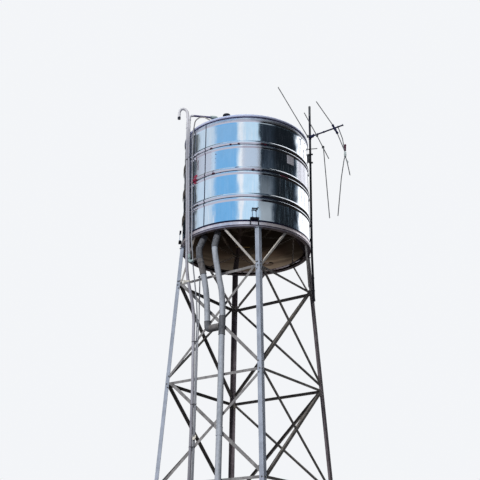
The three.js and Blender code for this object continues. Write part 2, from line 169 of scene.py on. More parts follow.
def skin(bm, loops, materials):
    """Faces from each loop of corners to the next, and a lid on either end."""
    for first, second, material in zip(loops, loops[1:], materials):
        bridge(bm, first, second, material)
    bm.faces.new(loops[0]).material_index = materials[0]
    bm.faces.new(list(reversed(loops[-1]))).material_index = materials[-1]


def turn(bm, origin, axis, profile, sides, material=0):
    """Turns a closed profile of (radius, distance along the axis). A radius of 0 is a point."""
    axis = axis.normalized()
    side, other = LEVEL if axis == UP else ring_frame(axis)
    origin = Vector(origin)
    loops = [circle(bm, origin + axis * distance, side, other, radius, sides) for radius, distance in profile]
    for first, second in zip(loops, loops[1:]):
        bridge(bm, first, second, material)
    if len(loops[0]) > 1 and len(loops[-1]) > 1:
        bridge(bm, loops[-1], loops[0], material)


def stud(bm, origin, axis, radius, height, sides, material=0):
    turn(bm, origin, axis, [(0, 0), (radius, 0), (radius, height), (0, height)], sides, material)


def collar(bm, middle, axis, radius, proud, half, sides=24, material=0):
    """A band round a tube, proud of it by a depth and as wide as twice its half."""
    outer = radius + proud
    turn(bm, middle, axis, [(radius, -half), (outer, -half), (outer, half), (radius, half)], sides, material)


def block(bm, centre, axes, size, bevel=0.0, material=0):
    """A box with softened edges, its first two sides along two square directions."""
    x_axis, y_axis = (axis.normalized() for axis in axes)
    made = bmesh.ops.create_cube(bm, size=1.0)["verts"]
    place = Matrix((x_axis, y_axis, x_axis.cross(y_axis))).transposed().to_4x4()
    place.translation = centre
    bmesh.ops.transform(bm, matrix=place @ Matrix.Diagonal((*size, 1)), verts=made)
    for face in {face for vert in made for face in vert.link_faces}:
        face.material_index = material
    edges = dict.fromkeys(edge for vert in made for edge in vert.link_edges)
    bmesh.ops.bevel(bm, geom=list(edges), offset=bevel, segments=2, affect="EDGES", material=material)


BOLT = (0.019, 0.008)                 # a hexagon's width and height
BOLT_END = (0.019, 0.01)
SMALL_BOLT = (0.013, 0.007)
SMALL_HEAD = (0.013, 0.006)
WASHER_T = 0.0022
HEAD_CHAMFER = 0.0018


def hex_bolt(bm, point, axis, size=BOLT, material=0):
    """A washer and a hexagon head that stand on a point."""
    across, height = size
    stud(bm, point, axis, across * 0.62, WASHER_T, 16, material)
    corner, top = across * 0.577, height + HEAD_CHAMFER
    head = [(0, 0.002), (corner, 0.002), (corner, height), (corner * 0.86, top), (0, top)]
    turn(bm, point, axis, head, 6, material)


ARC_STEP = 0.12                       # radians of a bend from one point of a route to the next


def smooth_corners(corners, bend):
    """The route with each sharp corner turned into an arc."""
    corners = [Vector(corner) for corner in corners]
    points = [corners[0]]
    for before, corner, after in zip(corners, corners[1:], corners[2:]):
        back, forward = before - corner, after - corner
        turned = math.pi - back.angle(forward)
        if turned < 0.02:
            points.append(corner)
            continue
        cut = min(bend * math.tan(turned / 2), back.length * 0.45, forward.length * 0.45)
        start, end = corner + back.normalized() * cut, corner + forward.normalized() * cut
        for t in shares(max(3, round(turned / ARC_STEP))):
            points.append(start * (1 - t) ** 2 + corner * 2 * t * (1 - t) + end * t ** 2)
    return [*points, corners[-1]]


class Route:
    """A pipe's centre line, measured by the distance from its start."""

    def __init__(self, corners, bend):
        self.points = smooth_corners(corners, bend)
        self.marks = [0.0]
        for first, second in zip(self.points, self.points[1:]):
            self.marks.append(self.marks[-1] + (second - first).length)
        self.length = self.marks[-1]

    def at(self, distance):
        """The point at a distance and the direction there."""
        for i in range(len(self.points) - 1):
            if distance <= self.marks[i + 1] or i == len(self.points) - 2:
                direction = (self.points[i + 1] - self.points[i]) / (self.marks[i + 1] - self.marks[i])
                return self.points[i] + direction * (distance - self.marks[i]), direction

    def part(self, start, end):
        inner = [p for p, mark in zip(self.points, self.marks) if start + 1e-4 < mark < end - 1e-4]
        return [self.at(start)[0], *inner, self.at(end)[0]]

    def height(self, z, after=0.0):
        """The distance at which the route first comes down to a height."""
        for i in range(len(self.points) - 1):
            high, low = self.points[i].z, self.points[i + 1].z
            if self.marks[i + 1] > after and high >= z > low:
                return self.marks[i] + (high - z) / (high - low) * (self.marks[i + 1] - self.marks[i])
        return self.length

    def at_height(self, z, after=0.0):
        return self.at(self.height(z, after))


def tube(bm, points, radius, sides=24, material=0, bore_start=0.0, bore_end=0.0, wall=0.0035, inside=None):
    """A pipe along points. An open end has a rim and a bore of the given depth."""
    inside = material if inside is None else inside
    directions = [(b - a).normalized() for a, b in zip(points, points[1:])]
    rings = [(point, (before + after).normalized(), radius, material) for point, before, after
             in zip(points, [directions[0], *directions], [*directions, directions[-1]])]
    if bore_start:
        point, direction = rings[0][:2]
        rings[:0] = [(point + direction * bore_start, direction, radius - wall, inside),
                     (point, direction, radius - wall, material)]
    if bore_end:
        point, direction = rings[-1][:2]
        rings += [(point, direction, radius - wall, inside),
                  (point - direction * bore_end, direction, radius - wall, inside)]
    side = ring_frame(rings[0][1])[0]
    loops = []
    for point, direction, ring_radius, _ in rings:
        side = (side - direction * side.dot(direction)).normalized()
        loops.append(circle(bm, point, side, direction.cross(side), ring_radius, sides))
    skin(bm, loops, [ring[3] for ring in rings])


def sleeves(bm, route, radius, parts, sides=28):
    """Sockets round a pipe, with a lip at each end. A part is (start, end, how proud it is, material)."""
    for start, end, proud, material in parts:
        outer = radius + proud
        lip = outer + 0.0015
        tube(bm, route.part(start, end), outer, sides, material)
        for distance, sign in ((start, 1), (end, -1)):
            point, direction = route.at(distance)
            profile = [(0, 0), (lip, 0), (lip, 0.008), (outer, 0.011), (0, 0.011)]
            turn(bm, point, direction * sign, profile, sides, material)


MATERIALS = {}      # the tower's finishes and those of its surroundings, by name


def add_mesh(name, bm, materials):
    mesh = bpy.data.meshes.new(name)
    bm.to_mesh(mesh)
    bm.free()
    for material in materials.split():
        mesh.materials.append(MATERIALS[material])
    mesh.shade_smooth()
    return add_object(name, mesh)


@contextmanager
def piece(name, materials, slot, node=None, sharp=35):
    """An object of the tower, in place of a node if one is named. Its mesh is built in the block below."""
    bm = bmesh.new()
    yield bm
    bmesh.ops.recalc_face_normals(bm, faces=bm.faces)
    made = add_mesh(name, bm, materials)
    made.data.set_sharp_from_angle(angle=math.radians(sharp))
    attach(made, "root")
    if node:
        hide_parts(node)


# Material tools

def add_node(tree, kind, inputs, **settings):
    made = tree.nodes.new(kind)
    for key, value in settings.items():
        setattr(made, key, value)
    feed(made, inputs)
    return made


def feed(node, inputs):
    """Sets a node's inputs, by number or name, to numbers, colours or what other nodes give."""
    for key, value in inputs.items():
        socket = node.inputs[key]
        if isinstance(value, Value):
            node.id_data.links.new(value.socket, socket)
        else:
            socket.default_value = (*value, 1) if socket.type == "RGBA" else value


class Value:
    """What a node gives. It is reckoned with like a number, and steers ramps and mixes."""

    def __init__(self, socket):
        self.socket = socket

    def node(self, kind, inputs, output=0, **settings):
        """What a node makes of this and of further inputs."""
        return Value(add_node(self.socket.id_data, kind, {0: self, **inputs}, **settings).outputs[output])

    def reckon(self, operation, *others):
        return self.node("ShaderNodeMath", dict(enumerate(others, 1)), operation=operation)

    __add__ = partialmethod(reckon, "ADD")
    __sub__ = partialmethod(reckon, "SUBTRACT")
    __rsub__ = partialmethod(reckon, "MULTIPLY_ADD", -1.0)
    __mul__ = partialmethod(reckon, "MULTIPLY")
    __truediv__ = partialmethod(reckon, "DIVIDE")
    __lt__ = partialmethod(reckon, "LESS_THAN")
    __abs__ = partialmethod(reckon, "ABSOLUTE")

    def between(self, start, end, low=0.0, high=1.0):
        """Goes from low to high while this goes from start to end."""
        return self.node("ShaderNodeMapRange", {1: start, 2: end, 3: low, 4: high})

    def vector(self, operation, *others):
        return self.node("ShaderNodeVectorMath", dict(enumerate(others, 1)), operation=operation)

    def parts(self):
        return [Value(part) for part in self.node("ShaderNodeSeparateXYZ", {}).socket.node.outputs]

    def ramp(self, *stops):
        """A ramp of (position, colour or grey value) stops."""
        made = self.node("ShaderNodeValToRGB", {})
        elements = made.socket.node.color_ramp.elements
        while len(elements) < len(stops):
            elements.new(0.5)
        for element, (position, colour) in zip(elements, stops):
            element.position = position
            element.color = (*colour, 1) if isinstance(colour, tuple) else (colour, colour, colour, 1)
        return made

    def mix(self, first, second):
        """From one colour to another as this goes from nought to one."""
        return self.node("ShaderNodeMix", {6: first, 7: second}, 2, data_type="RGBA")


def most(*values):
    return reduce(lambda first, second: first.reckon("MAXIMUM", second), values)


def scaled(colour, factor):
    return tuple(factor * value for value in colour)


class Finish:
    """A material, with short calls for what the finishes share."""

    def __init__(self, name, roughness=0.5, metallic=0.0, specular=0.5):
        MATERIALS[name] = material = bpy.data.materials.new(name)
        material.use_nodes = True
        self.tree = material.node_tree
        self.shader = self.tree.nodes["Principled BSDF"]
        self.give({"Roughness": roughness, "Metallic": metallic, "Specular IOR Level": specular})
        self.place = Value(add_node(self.tree, "ShaderNodeTexCoord", {}).outputs["Object"])
        self.x, self.y, self.z = self.place.parts()

    def give(self, inputs):
        feed(self.shader, inputs)

    def noise(self, scale, detail=4.0, roughness=0.55, stretch=None, source=None, output="Fac"):
        """A noise. A stretch gives it a direction."""
        source = source or self.place
        if stretch:
            source = source.node("ShaderNodeMapping", {"Scale": stretch})
        inputs = {"Scale": scale, "Detail": detail, "Roughness": roughness}
        return source.node("ShaderNodeTexNoise", inputs, output)

    def angle(self):
        """The angle round the tower's axis, from the front toward the right."""
        return self.x.reckon("ARCTAN2", self.y * -1.0)

    def unrolled(self):
        """Coordinates on the round shell laid flat: the distance round it and the height."""
        return (self.angle() * SHELL_R).node("ShaderNodeCombineXYZ", {1: self.z})

    def bump(self, height, strength, distance):
        """Adds relief to what the surface has so far."""
        inputs = {"Strength": strength, "Distance": distance, "Height": height}
        for link in self.shader.inputs["Normal"].links:
            inputs["Normal"] = Value(link.from_socket)
        self.give({"Normal": Value(add_node(self.tree, "ShaderNodeBump", inputs).outputs[0])})


BROWN = (0.16, 0.085, 0.045)


def weathered(name, dark, pale, roughness, metallic, stain=BROWN, stain_share=0.62):
    """A weathered finish: mottled from dark to pale, with streaks and scattered stains."""
    finish = Finish(name, roughness, metallic)
    mottle = finish.noise(9.0, 6.0, 0.62)
    both = mottle * 0.55 + finish.noise(6.0, 5.0, stretch=(3.0, 3.0, 0.5)) * 0.45
    stained = finish.noise(26.0, 8.0, 0.7).ramp((stain_share, 0.0), (stain_share + 0.07, 0.8))
    finish.give({"Base Color": stained.mix(both.ramp((0.34, dark), (0.62, pale)), stain),
                 "Roughness": both.ramp((0.3, roughness + 0.15), (0.7, roughness))})
    finish.bump(finish.noise(60.0, 6.0), 0.35, 0.0012)


def mirror_sheet(name, printed):
    """Polished stainless sheet, with faint polishing lines round it and upright smears."""
    finish = Finish(name, metallic=1.0)
    flat = finish.unrolled()
    smears = finish.noise(1.0, 5.0, stretch=(7.0, 0.8, 1.0), source=flat)
    polish = finish.noise(1.0, 3.0, stretch=(2.0, 160.0, 1.0), source=flat)
    stains = finish.noise(2.2, 7.0, 0.7, (3.0, 2.0, 1.0), flat)
    rough = smears.ramp((0.35, 0.035), (0.75, 0.095))
    ground = stains.ramp((0.45, 0.0), (0.8, 0.7)).mix(STAINLESS, scaled(STAINLESS, 0.86))
    if printed:
        ground, rough = print_remnants(finish, flat, ground, rough)
    finish.give({"Base Color": ground, "Roughness": rough})
    finish.bump(smears, 0.1, 0.002)
    finish.bump(polish, 0.05, 0.0003)


STAINLESS = (0.83, 0.86, 0.9)
# Faded film on the third course, in arcs of degrees from the front, and flakes of red left along
# its beads and at its left. A flake is its middle's angle and height, its half width and half height.
FILM = (0.6, 0.58, 0.66)
FILM_ARCS = [(-50, -31), (-4, 13), (52, 80)]
FILM_MIDDLE, FILM_HALF = 8.0475, 0.225
DARK_RED = (0.075, 0.006, 0.018)
DARK_FLAKES = [
    (-32.1, 8.288, 0.024, 0.011), (-50.5, 8.27, 0.016, 0.008), (-13.8, 8.29, 0.017, 0.009),
    (-6.3, 8.292, 0.022, 0.008), (13.7, 8.3, 0.02, 0.008), (16.8, 8.292, 0.026, 0.014),
    (-29.4, 7.864, 0.024, 0.012), (-29.6, 7.822, 0.03, 0.017), (-22.7, 7.806, 0.013, 0.008),
    (-7.8, 7.866, 0.034, 0.01), (5.8, 7.828, 0.03, 0.009), (10.5, 7.82, 0.022, 0.008),
    (33.4, 7.8, 0.05, 0.017), (37.5, 7.79, 0.035, 0.014), (-27.4, 8.16, 0.007, 0.01),
    (-27.6, 8.085, 0.006, 0.009), (-28.0, 8.01, 0.005, 0.007), (-50.0, 8.2, 0.009, 0.045),
    (-47.8, 8.12, 0.01, 0.055), (-47.6, 8.035, 0.009, 0.05),
]
CRIMSON = (0.3, 0.016, 0.055)
CRIMSON_FLAKES = [(-53.0, 7.83, 0.085, 0.04), (-51.0, 7.905, 0.05, 0.022), (-50.0, 7.775, 0.035, 0.012)]


def flake_mask(u, v, flakes):
    """One inside any of the flakes, else nought."""
    spots = []
    for angle, z, half_width, half_height in flakes:
        across, upward = (u - math.radians(angle) * SHELL_R) / half_width, (v - z) / half_height
        spots.append(across * across + upward * upward < 1.0)
    return most(*spots)


def print_remnants(finish, flat, ground, rough):
    """Adds the faded film and the flakes to a sheet's colour and roughness. Both have ragged edges."""
    ragged = finish.noise(22.0, 5.0, 0.5, source=flat, output="Color").vector("SUBTRACT", (0.5, 0.5, 0.5))
    u, v, _ = ragged.vector("MULTIPLY_ADD", (0.034, 0.022, 0.0), flat).parts()
    arcs = []
    for start, end in FILM_ARCS:
        middle, half = (math.radians(angle / 2) * SHELL_R for angle in (start + end, end - start))
        arcs.append((half - abs(u - middle)).between(-0.01, 0.03, 0.0, 0.62))
    film = most(*arcs) * (abs(v - FILM_MIDDLE) < FILM_HALF)
    dark, crimson = flake_mask(u, v, DARK_FLAKES), flake_mask(u, v, CRIMSON_FLAKES)
    flakes = most(dark, crimson)
    finish.give({"Metallic": 1.0 - most(film * 0.45, flakes)})
    return (dark.mix(crimson.mix(film.mix(ground, FILM), CRIMSON), DARK_RED),
            most(film * 0.5, flakes).mix(rough, (0.35, 0.35, 0.35)))


def brushed(name, tint, dark, roughness, metallic=1.0):
    """Rolled metal with fine lines round it and dull, stained patches."""
    finish = Finish(name, roughness, metallic)
    flat = finish.unrolled()
    stains = finish.noise(2.4, 7.0, 0.68, (3.0, 1.2, 1.0), flat)
    finish.give({"Base Color": stains.ramp((0.38, tint), (0.72, dark)),
                 "Roughness": stains.ramp((0.3, roughness), (0.75, roughness + 0.16))})
    finish.bump(finish.noise(1.0, stretch=(2.5, 130.0, 1.0), source=flat), 0.16, 0.0006)


RUST_X, RUST_Y = -0.045, -0.41
RUST_HALF_X, RUST_HALF_Y = 0.11, 0.01


def dish_finish():
    """Polished sheet under a brown film, with a rust streak, and painted shade that darkens it toward the
    front and sides.
    """
    finish = Finish("bottom_sheet", 0.2, 1.0)
    blotches = finish.noise(2.6, 7.0, 0.62)
    marks = finish.place.node("ShaderNodeTexVoronoi", {"Scale": 5.0}, "Distance")
    film = (blotches * 0.8 + marks * 0.3).ramp((0.36, (0.56, 0.51, 0.44)), (0.62, (0.36, 0.27, 0.22)))
    # Painted shade, darker toward the front and sides.
    front_and_side_shade = most(abs(finish.x).between(0.5, 0.95, 0.0, 0.8), finish.y.between(-0.1, -0.7, 0.0, 0.6))
    streak = (abs(finish.x - RUST_X) < RUST_HALF_X) * (abs(finish.y - RUST_Y) < RUST_HALF_Y)
    finish.give({"Base Color": streak.mix(front_and_side_shade.mix(film, (0.1, 0.085, 0.075)), (0.34, 0.2, 0.06)),
                 "Metallic": 1.0 - streak,
                 "Roughness": blotches.ramp((0.35, 0.035), (0.7, 0.13))})
    finish.bump(finish.noise(3.2, 3.0), 0.25, 0.004)


# The heights over which a pipe's top pales, and those over which its darkening toward the bottom fades.
TOP_PALING, FOOT_DARKENING = (8.6, 9.1), (3.2, 5.0)


def pipe_finish(name, dark, pale, roughness=0.5, gloss=0.5, grain=70.0, grain_depth=0.0006, pale_top=None):
    """Weathered plastic pipe: mottled, with dirt that runs along it. One with a pale top is paler
    there, and darker low on the tower."""
    finish = Finish(name, roughness, 0.0, gloss)
    mottle = finish.noise(28.0, 7.0, 0.7)
    runs = finish.noise(1.6, 5.0, stretch=(22.0, 22.0, 1.6))
    colour = (mottle * 0.5 + runs * 0.5).ramp((0.36, dark), (0.56, pale))
    if pale_top:
        colour = finish.z.between(*TOP_PALING).mix(colour, pale_top)
        colour = finish.z.between(*FOOT_DARKENING, 0.6, 0.0).mix(colour, scaled(dark, 0.45))
    finish.give({"Base Color": colour,
                 "Roughness": mottle.ramp((0.3, roughness + 0.15), (0.7, roughness - 0.08))})
    finish.bump(finish.noise(grain, 5.0), 0.3, grain_depth)


mirror_sheet("polished_sheet", False)
mirror_sheet("polished_sheet_printed", True)
dish_finish()
for values in (
    # The rim's lavender blue is a painted reflection of the sky.
    ("rolled_rim", (0.72, 0.77, 1.0), (0.6, 0.65, 0.9), 0.24, 0.35),
    ("folded_hem", (0.72, 0.74, 0.78), (0.5, 0.51, 0.55), 0.24, 0.9),
    ("rolled_ring", (0.9, 0.82, 0.84), (0.56, 0.48, 0.52), 0.28, 0.72),
    # The ring's lower lip: a darker copy of the ring's finish, painted shade.
    ("ring_lip", (0.36, 0.32, 0.36), (0.2, 0.17, 0.2), 0.32, 0.72),
    ("roof_sheet", (0.6, 0.61, 0.65), (0.4, 0.4, 0.41), 0.3),
    # A dark joint colour, which also paints the shade in the grooves under the rim and in the ring.
    ("seam", (0.036, 0.032, 0.08), (0.02, 0.018, 0.038), 0.5),
):
    brushed(*values)
for values in (
    ("galvanised_angle", (0.31, 0.345, 0.41), (0.48, 0.53, 0.63), 0.46, 0.2, (0.19, 0.15, 0.13), 0.66),
    # A darker copy of the galvanised angle for the right and back legs: painted shade, with brown stains.
    ("weathered_leg", (0.085, 0.07, 0.08), (0.22, 0.19, 0.205), 0.55, 0.25, (0.1, 0.055, 0.04), 0.6),
    ("weathered_angle", (0.165, 0.158, 0.16), (0.35, 0.342, 0.345), 0.62, 0.2),
    ("knee_angle", (0.42, 0.39, 0.36), (0.66, 0.63, 0.59), 0.5, 0.2, BROWN, 0.66),
    # A darker copy of the bracing's finish for the three faces out of the sun: painted shade.
    ("dark_angle", (0.085, 0.075, 0.066), (0.2, 0.185, 0.17), 0.64, 0.2),
    ("black_steel", (0.007, 0.007, 0.012), (0.022, 0.022, 0.032), 0.5, 0.2, (0.07, 0.035, 0.02), 0.7),
    ("fastener_steel", (0.13, 0.12, 0.11), (0.3, 0.29, 0.28), 0.48, 0.6),
    ("aerial_tube", (0.11, 0.105, 0.1), (0.25, 0.245, 0.24), 0.45, 0.65, (0.1, 0.07, 0.055)),
    ("boom_steel", (0.006, 0.006, 0.03), (0.016, 0.016, 0.065), 0.5, 0.2, (0.05, 0.03, 0.03), 0.72),
    ("wire", (0.03, 0.028, 0.028), (0.1, 0.09, 0.085), 0.5, 0.6),
):
    weathered(*values)
for values in (
    ("pale_pipe", (0.29, 0.32, 0.365), (0.47, 0.51, 0.58), 0.32, 0.9),
    ("riser_pipe", (0.28, 0.28, 0.325), (0.43, 0.43, 0.49), 0.32, 0.9, 70.0, 0.0006, (0.8, 0.8, 0.86)),
    ("shaded_pipe", (0.07, 0.06, 0.14), (0.15, 0.13, 0.27)),
    ("dark_fitting", (0.062, 0.065, 0.074), (0.145, 0.152, 0.17), 0.58, 0.5, 45.0, 0.0012),
    ("crusted_fitting", (0.085, 0.075, 0.072), (0.2, 0.195, 0.2), 0.78, 0.5, 30.0, 0.004),
    ("sea_green_fitting", (0.25, 0.34, 0.35), (0.44, 0.54, 0.55)),
    ("clip_plastic", (0.6, 0.58, 0.52), (0.8, 0.78, 0.72)),
    ("weathered_hose", (0.22, 0.23, 0.26), (0.38, 0.4, 0.45), 0.6, 0.5, 70.0, 0.0006, (0.44, 0.42, 0.37)),
    ("bore", (0.01, 0.01, 0.01), (0.03, 0.028, 0.026), 0.8),
    ("black_plastic", (0.01, 0.01, 0.016), (0.028, 0.028, 0.042), 0.42),
    ("dark_red_plastic", (0.035, 0.006, 0.016), (0.085, 0.012, 0.035)),
    ("pale_tape", (0.42, 0.5, 0.52), (0.62, 0.7, 0.72), 0.6),
    ("blank_label", (0.36, 0.36, 0.41), (0.52, 0.52, 0.58), 0.4),
):
    pipe_finish(*values)

# Shell: four courses with a rolled bead at each side of each joint

BEAD_STEPS = 12
COURSE_GAP = 0.0004                   # half the gap between two courses
JOINT_R, JOINT_H = SHELL_R - 0.0015, 0.004
BEAD_ROOM = BEAD_OFFSET + BEAD_HALF + 0.004
HEM_R = SHELL_R + 0.0014
LAP_HALF, LAP_IN, LAP_PROUD = 0.0085 / SHELL_R, -0.002, 0.0012


def bead(centre):
    """One smooth roll of the shell, as (radius, height) points going up."""
    return [(SHELL_R + (BEAD_R - SHELL_R) * math.cos(t * math.pi / 2) ** 1.2, centre + t * BEAD_HALF)
            for t in (2 * share - 1 for share in shares(BEAD_STEPS))]


def course_profile(number, bottom, top):
    """A course's outer side: a joint and a bead at each end, or a folded hem at the tank's top."""
    profile, low, high = [], bottom, top - HEM
    if number > 1:
        profile = [(JOINT_R, bottom), (JOINT_R, bottom + JOINT_H), *bead(bottom + BEAD_OFFSET)]
        low = bottom + BEAD_ROOM
    upper = [(HEM_R, high + 0.002), (HEM_R, top)]
    if number < 4:
        high = top - BEAD_ROOM
        upper = [*bead(top - BEAD_OFFSET), (JOINT_R, top - JOINT_H), (JOINT_R, top)]
    count = max(2, round((high - low) / 0.05))
    return profile + [(SHELL_R, low + (high - low) * share) for share in shares(count)] + upper


RIPPLE, FINE_RIPPLE = 0.00042, 0.00014


def add_ripple(bm):
    """The thin sheet's own waviness, mostly upright, up to about half a millimetre."""
    for vert in bm.verts:
        radius = vert.co.xy.length
        if radius > SHELL_R - 0.001:
            place = Vector((*(vert.co.xy / radius * 3.4), vert.co.z * 1.1))
            depth = RIPPLE * noise.noise(place) + FINE_RIPPLE * noise.noise(place * 2.7)
            vert.co.xy *= 1 + depth / radius


def lap_strip(bm, profile):
    """The upright lap where a course's sheet meets itself: a thin raised strip."""
    middle = SEAM_ANGLE - math.pi / 2
    corners = ((-LAP_HALF, LAP_IN), (-LAP_HALF, LAP_PROUD), (LAP_HALF, LAP_PROUD), (LAP_HALF, LAP_IN))
    rows = [[bm.verts.new(polar(radius + lift, middle + aside, z)) for aside, lift in corners]
            for radius, z in profile]
    skin(bm, rows, [1] * len(rows))


for number in range(1, 5):
    bottom, top = COURSE_EDGES[number - 1] + COURSE_GAP, COURSE_EDGES[number] - COURSE_GAP
    outer = course_profile(number, bottom, top)
    sheets = f"polished_sheet{'' if number == 1 else '_printed'} seam folded_hem"
    course = f"tank_shell_course_{number}"
    with piece(f"polished_course_{number}", sheets, "polished_stainless", course, 50) as bm:
        turn(bm, ORIGIN, UP, [*outer, (SHELL_R - SHELL_T, top), (SHELL_R - SHELL_T, bottom)], ROUND)
        add_ripple(bm)
        # Faces at the joints between courses take the dark joint finish, partly painted shade.
        for face in bm.faces:
            centre = face.calc_center_median()
            if centre.xy.length > SHELL_R - SHELL_T / 2:
                low = number > 1 and centre.z < bottom + JOINT_H + 0.0005
                high = number < 4 and centre.z > top - JOINT_H - 0.0005
                face.material_index = 1 if low or high else 2 if number == 4 and centre.z > top - HEM else 0
        # The lap strip takes the same dark joint finish, partly painted shade.
        lap_strip(bm, outer)

# Blank label plate on the third course

LABEL_START, LABEL_END = math.radians(38.9), math.radians(47.0)
LABEL_LOW, LABEL_HIGH = 8.065, 8.232
LABEL_STEPS = 8

with piece("blank_label_plate", "blank_label", "rim_stainless") as bm:
    back, face = SHELL_R - 0.001, SHELL_R + 0.0015
    corners = ((back, LABEL_LOW), (face, LABEL_LOW), (face, LABEL_HIGH), (back, LABEL_HIGH))
    turns = [LABEL_START + (LABEL_END - LABEL_START) * share for share in shares(LABEL_STEPS)]
    rows = [[bm.verts.new(polar(r, angle - math.pi / 2, z)) for r, z in corners] for angle in turns]
    skin(bm, rows, [0] * len(rows))

# Roof: a rolled rim, a shallow cone, radial lock seams and a centre disc

ROLL_R, ROLL_HALF, ROLL_STEPS = 1.0405, 0.0145, 14
ROLL_LOW = COURSE_EDGES[-1] + 0.027
GROOVE_R, SKIRT_R, ROOF_INNER_R = 1.0452, 1.049, 1.034
LOCK_SEAMS, SEAM_START, SEAM_END = 12, 0.1, 1.02


def roof_height(radius):
    return RIM_TOP + 0.004 + ROOF_RISE * (ROOF_R - radius) / ROOF_R


with piece("rolled_roof", "rolled_rim roof_sheet seam", "rim_stainless", "tank_roof", 40) as bm:
    top = COURSE_EDGES[-1]
    profile = [(r, roof_height(r)) for r in (0, 0.12, 0.3, 0.5, 0.7, 0.9, 1.0, 1.03)]
    for angle in (math.pi * (0.5 - share) for share in shares(ROLL_STEPS)):
        profile.append((ROLL_R + ROLL_HALF * math.cos(angle),
                        ROLL_LOW + (RIM_TOP - ROLL_LOW) / 2 * (1 + math.sin(angle))))
    turn(bm, ORIGIN, UP, [
        *profile, (GROOVE_R, ROLL_LOW - 0.001), (GROOVE_R, top + 0.004), (SKIRT_R, top + 0.003),
        (SKIRT_R, top), (SHELL_R + 0.001, top), (SHELL_R + 0.001, top - 0.001), (ROOF_INNER_R, top - 0.001),
        (ROOF_INNER_R, RIM_TOP - 0.012), (0.5, roof_height(0.5) - 0.003), (0, roof_height(0) - 0.003),
    ], ROUND_RIM)
    for face in bm.faces:
        centre = face.calc_center_median()
        radius = centre.xy.length
        # The groove under the rim takes the dark joint finish, which paints the shade there.
        in_groove = 1.043 < radius < 1.0475 and top + 0.002 < centre.z < ROLL_LOW
        face.material_index = 2 if in_groove else 0 if radius > 1.028 else 1
    for i in range(LOCK_SEAMS):
        inner, outer = (polar(r, 2 * math.pi * (i + 0.5) / LOCK_SEAMS, roof_height(r) + 0.003)
                        for r in (SEAM_START, SEAM_END))
        run = outer - inner
        across = Vector((run.x, run.y, 0)).cross(UP)
        block(bm, (inner + outer) / 2, (run, across), (run.length, 0.016, 0.009), 0.002, 1)
    turn(bm, ORIGIN, UP, [(0, roof_height(0) + 0.012), (0.11, roof_height(0.11) + 0.012),
                          (0.125, roof_height(0.12) + 0.004), (0.125, roof_height(0.12) - 0.002),
                          (0, roof_height(0) - 0.002)], 48, 1)

# Vent cap on the roof, with a ribbed edge

CAP_PLACE = Vector((-0.318, -0.858, 0))

with piece("vent_cap_moulded", "black_plastic", "black_plastic", "roof_vent_cap") as bm:
    foot = roof_height(CAP_PLACE.length) - 0.002
    turn(bm, CAP_PLACE, UP, [
        (0, foot), (0.046, foot), (0.046, foot + 0.01), (0.031, foot + 0.015), (0.03, 8.895),
        (0.05, 8.8975), (0.0595, 8.8985), (0.062, 8.902), (0.062, 8.918), (0.0595, 8.925),
        (0.046, 8.9295), (0.02, 8.9305), (0, 8.9305),
    ], 40)
    for angle in angles(20):
        out = polar(1, angle)
        block(bm, CAP_PLACE + out * 0.0608 + UP * 8.91, (out, UP), (0.0024, 0.02, 0.006), 0.0006)

# Support ring: a rolled angle with a lip, and a dark joint under the shell's foot, its grooves darkened as
# painted shade

RING_SOFT, RING_GROOVE = 0.0025, RING_R - 0.0038
LIP_TOP, BAND_TOP = RING_BOTTOM + 0.021, RING_TOP - 0.03
CREASE_R = RING_R - 0.0008
RING_BOLT_ASIDE = math.radians(7)

with piece("ring_rolled", "rolled_ring fastener_steel seam ring_lip", "rim_stainless", "support_ring",
           30) as bm:
    inner, soft = RING_R - RING_WEB, RING_R - RING_SOFT
    turn(bm, ORIGIN, UP, [
        (RING_LEDGE_R, RING_BOTTOM), (soft, RING_BOTTOM), (RING_R, RING_BOTTOM + RING_SOFT),
        (RING_R, LIP_TOP - RING_SOFT), (soft, LIP_TOP), (RING_GROOVE, LIP_TOP + 0.001),
        (RING_GROOVE, LIP_TOP + 0.01), (soft, LIP_TOP + 0.011), (RING_R, LIP_TOP + 0.011 + RING_SOFT),
        (RING_R, BAND_TOP - 0.02), (CREASE_R, BAND_TOP - 0.018), (CREASE_R, BAND_TOP - 0.014),
        (RING_R, BAND_TOP - 0.012), (RING_R, BAND_TOP - RING_SOFT), (soft, BAND_TOP),
        (RING_GROOVE, BAND_TOP + 0.001), (RING_GROOVE, RING_TOP), (inner, RING_TOP),
        (inner, RING_BOTTOM + RING_LEDGE_T), (RING_LEDGE_R, RING_BOTTOM + RING_LEDGE_T),
    ], ROUND_RIM)
    for face in bm.faces:
        centre = face.calc_center_median()
        # The lower lip is darker: painted shade.
        if centre.z < LIP_TOP:
            face.material_index = 3
        # The grooves take the dark joint finish, which paints their shade.
        elif abs(centre.xy.length - RING_GROOVE) < 0.001:
            face.material_index = 2
    for corner in range(4):
        place = polar(RING_R - 0.03, corner_angle(corner) + RING_BOLT_ASIDE, RING_BOTTOM)
        hex_bolt(bm, place, -UP, BOLT_END, 1)

# Dished bottom, with a round outlet pad

PAD_PLACE, PAD_R = Vector((0.37, 0.33, 0)), 0.085
DISH_STEPS = 28


def dish_height(radius):
    return DISH_CENTRE + DISH_DEPTH * (radius / DISH_R) ** 2


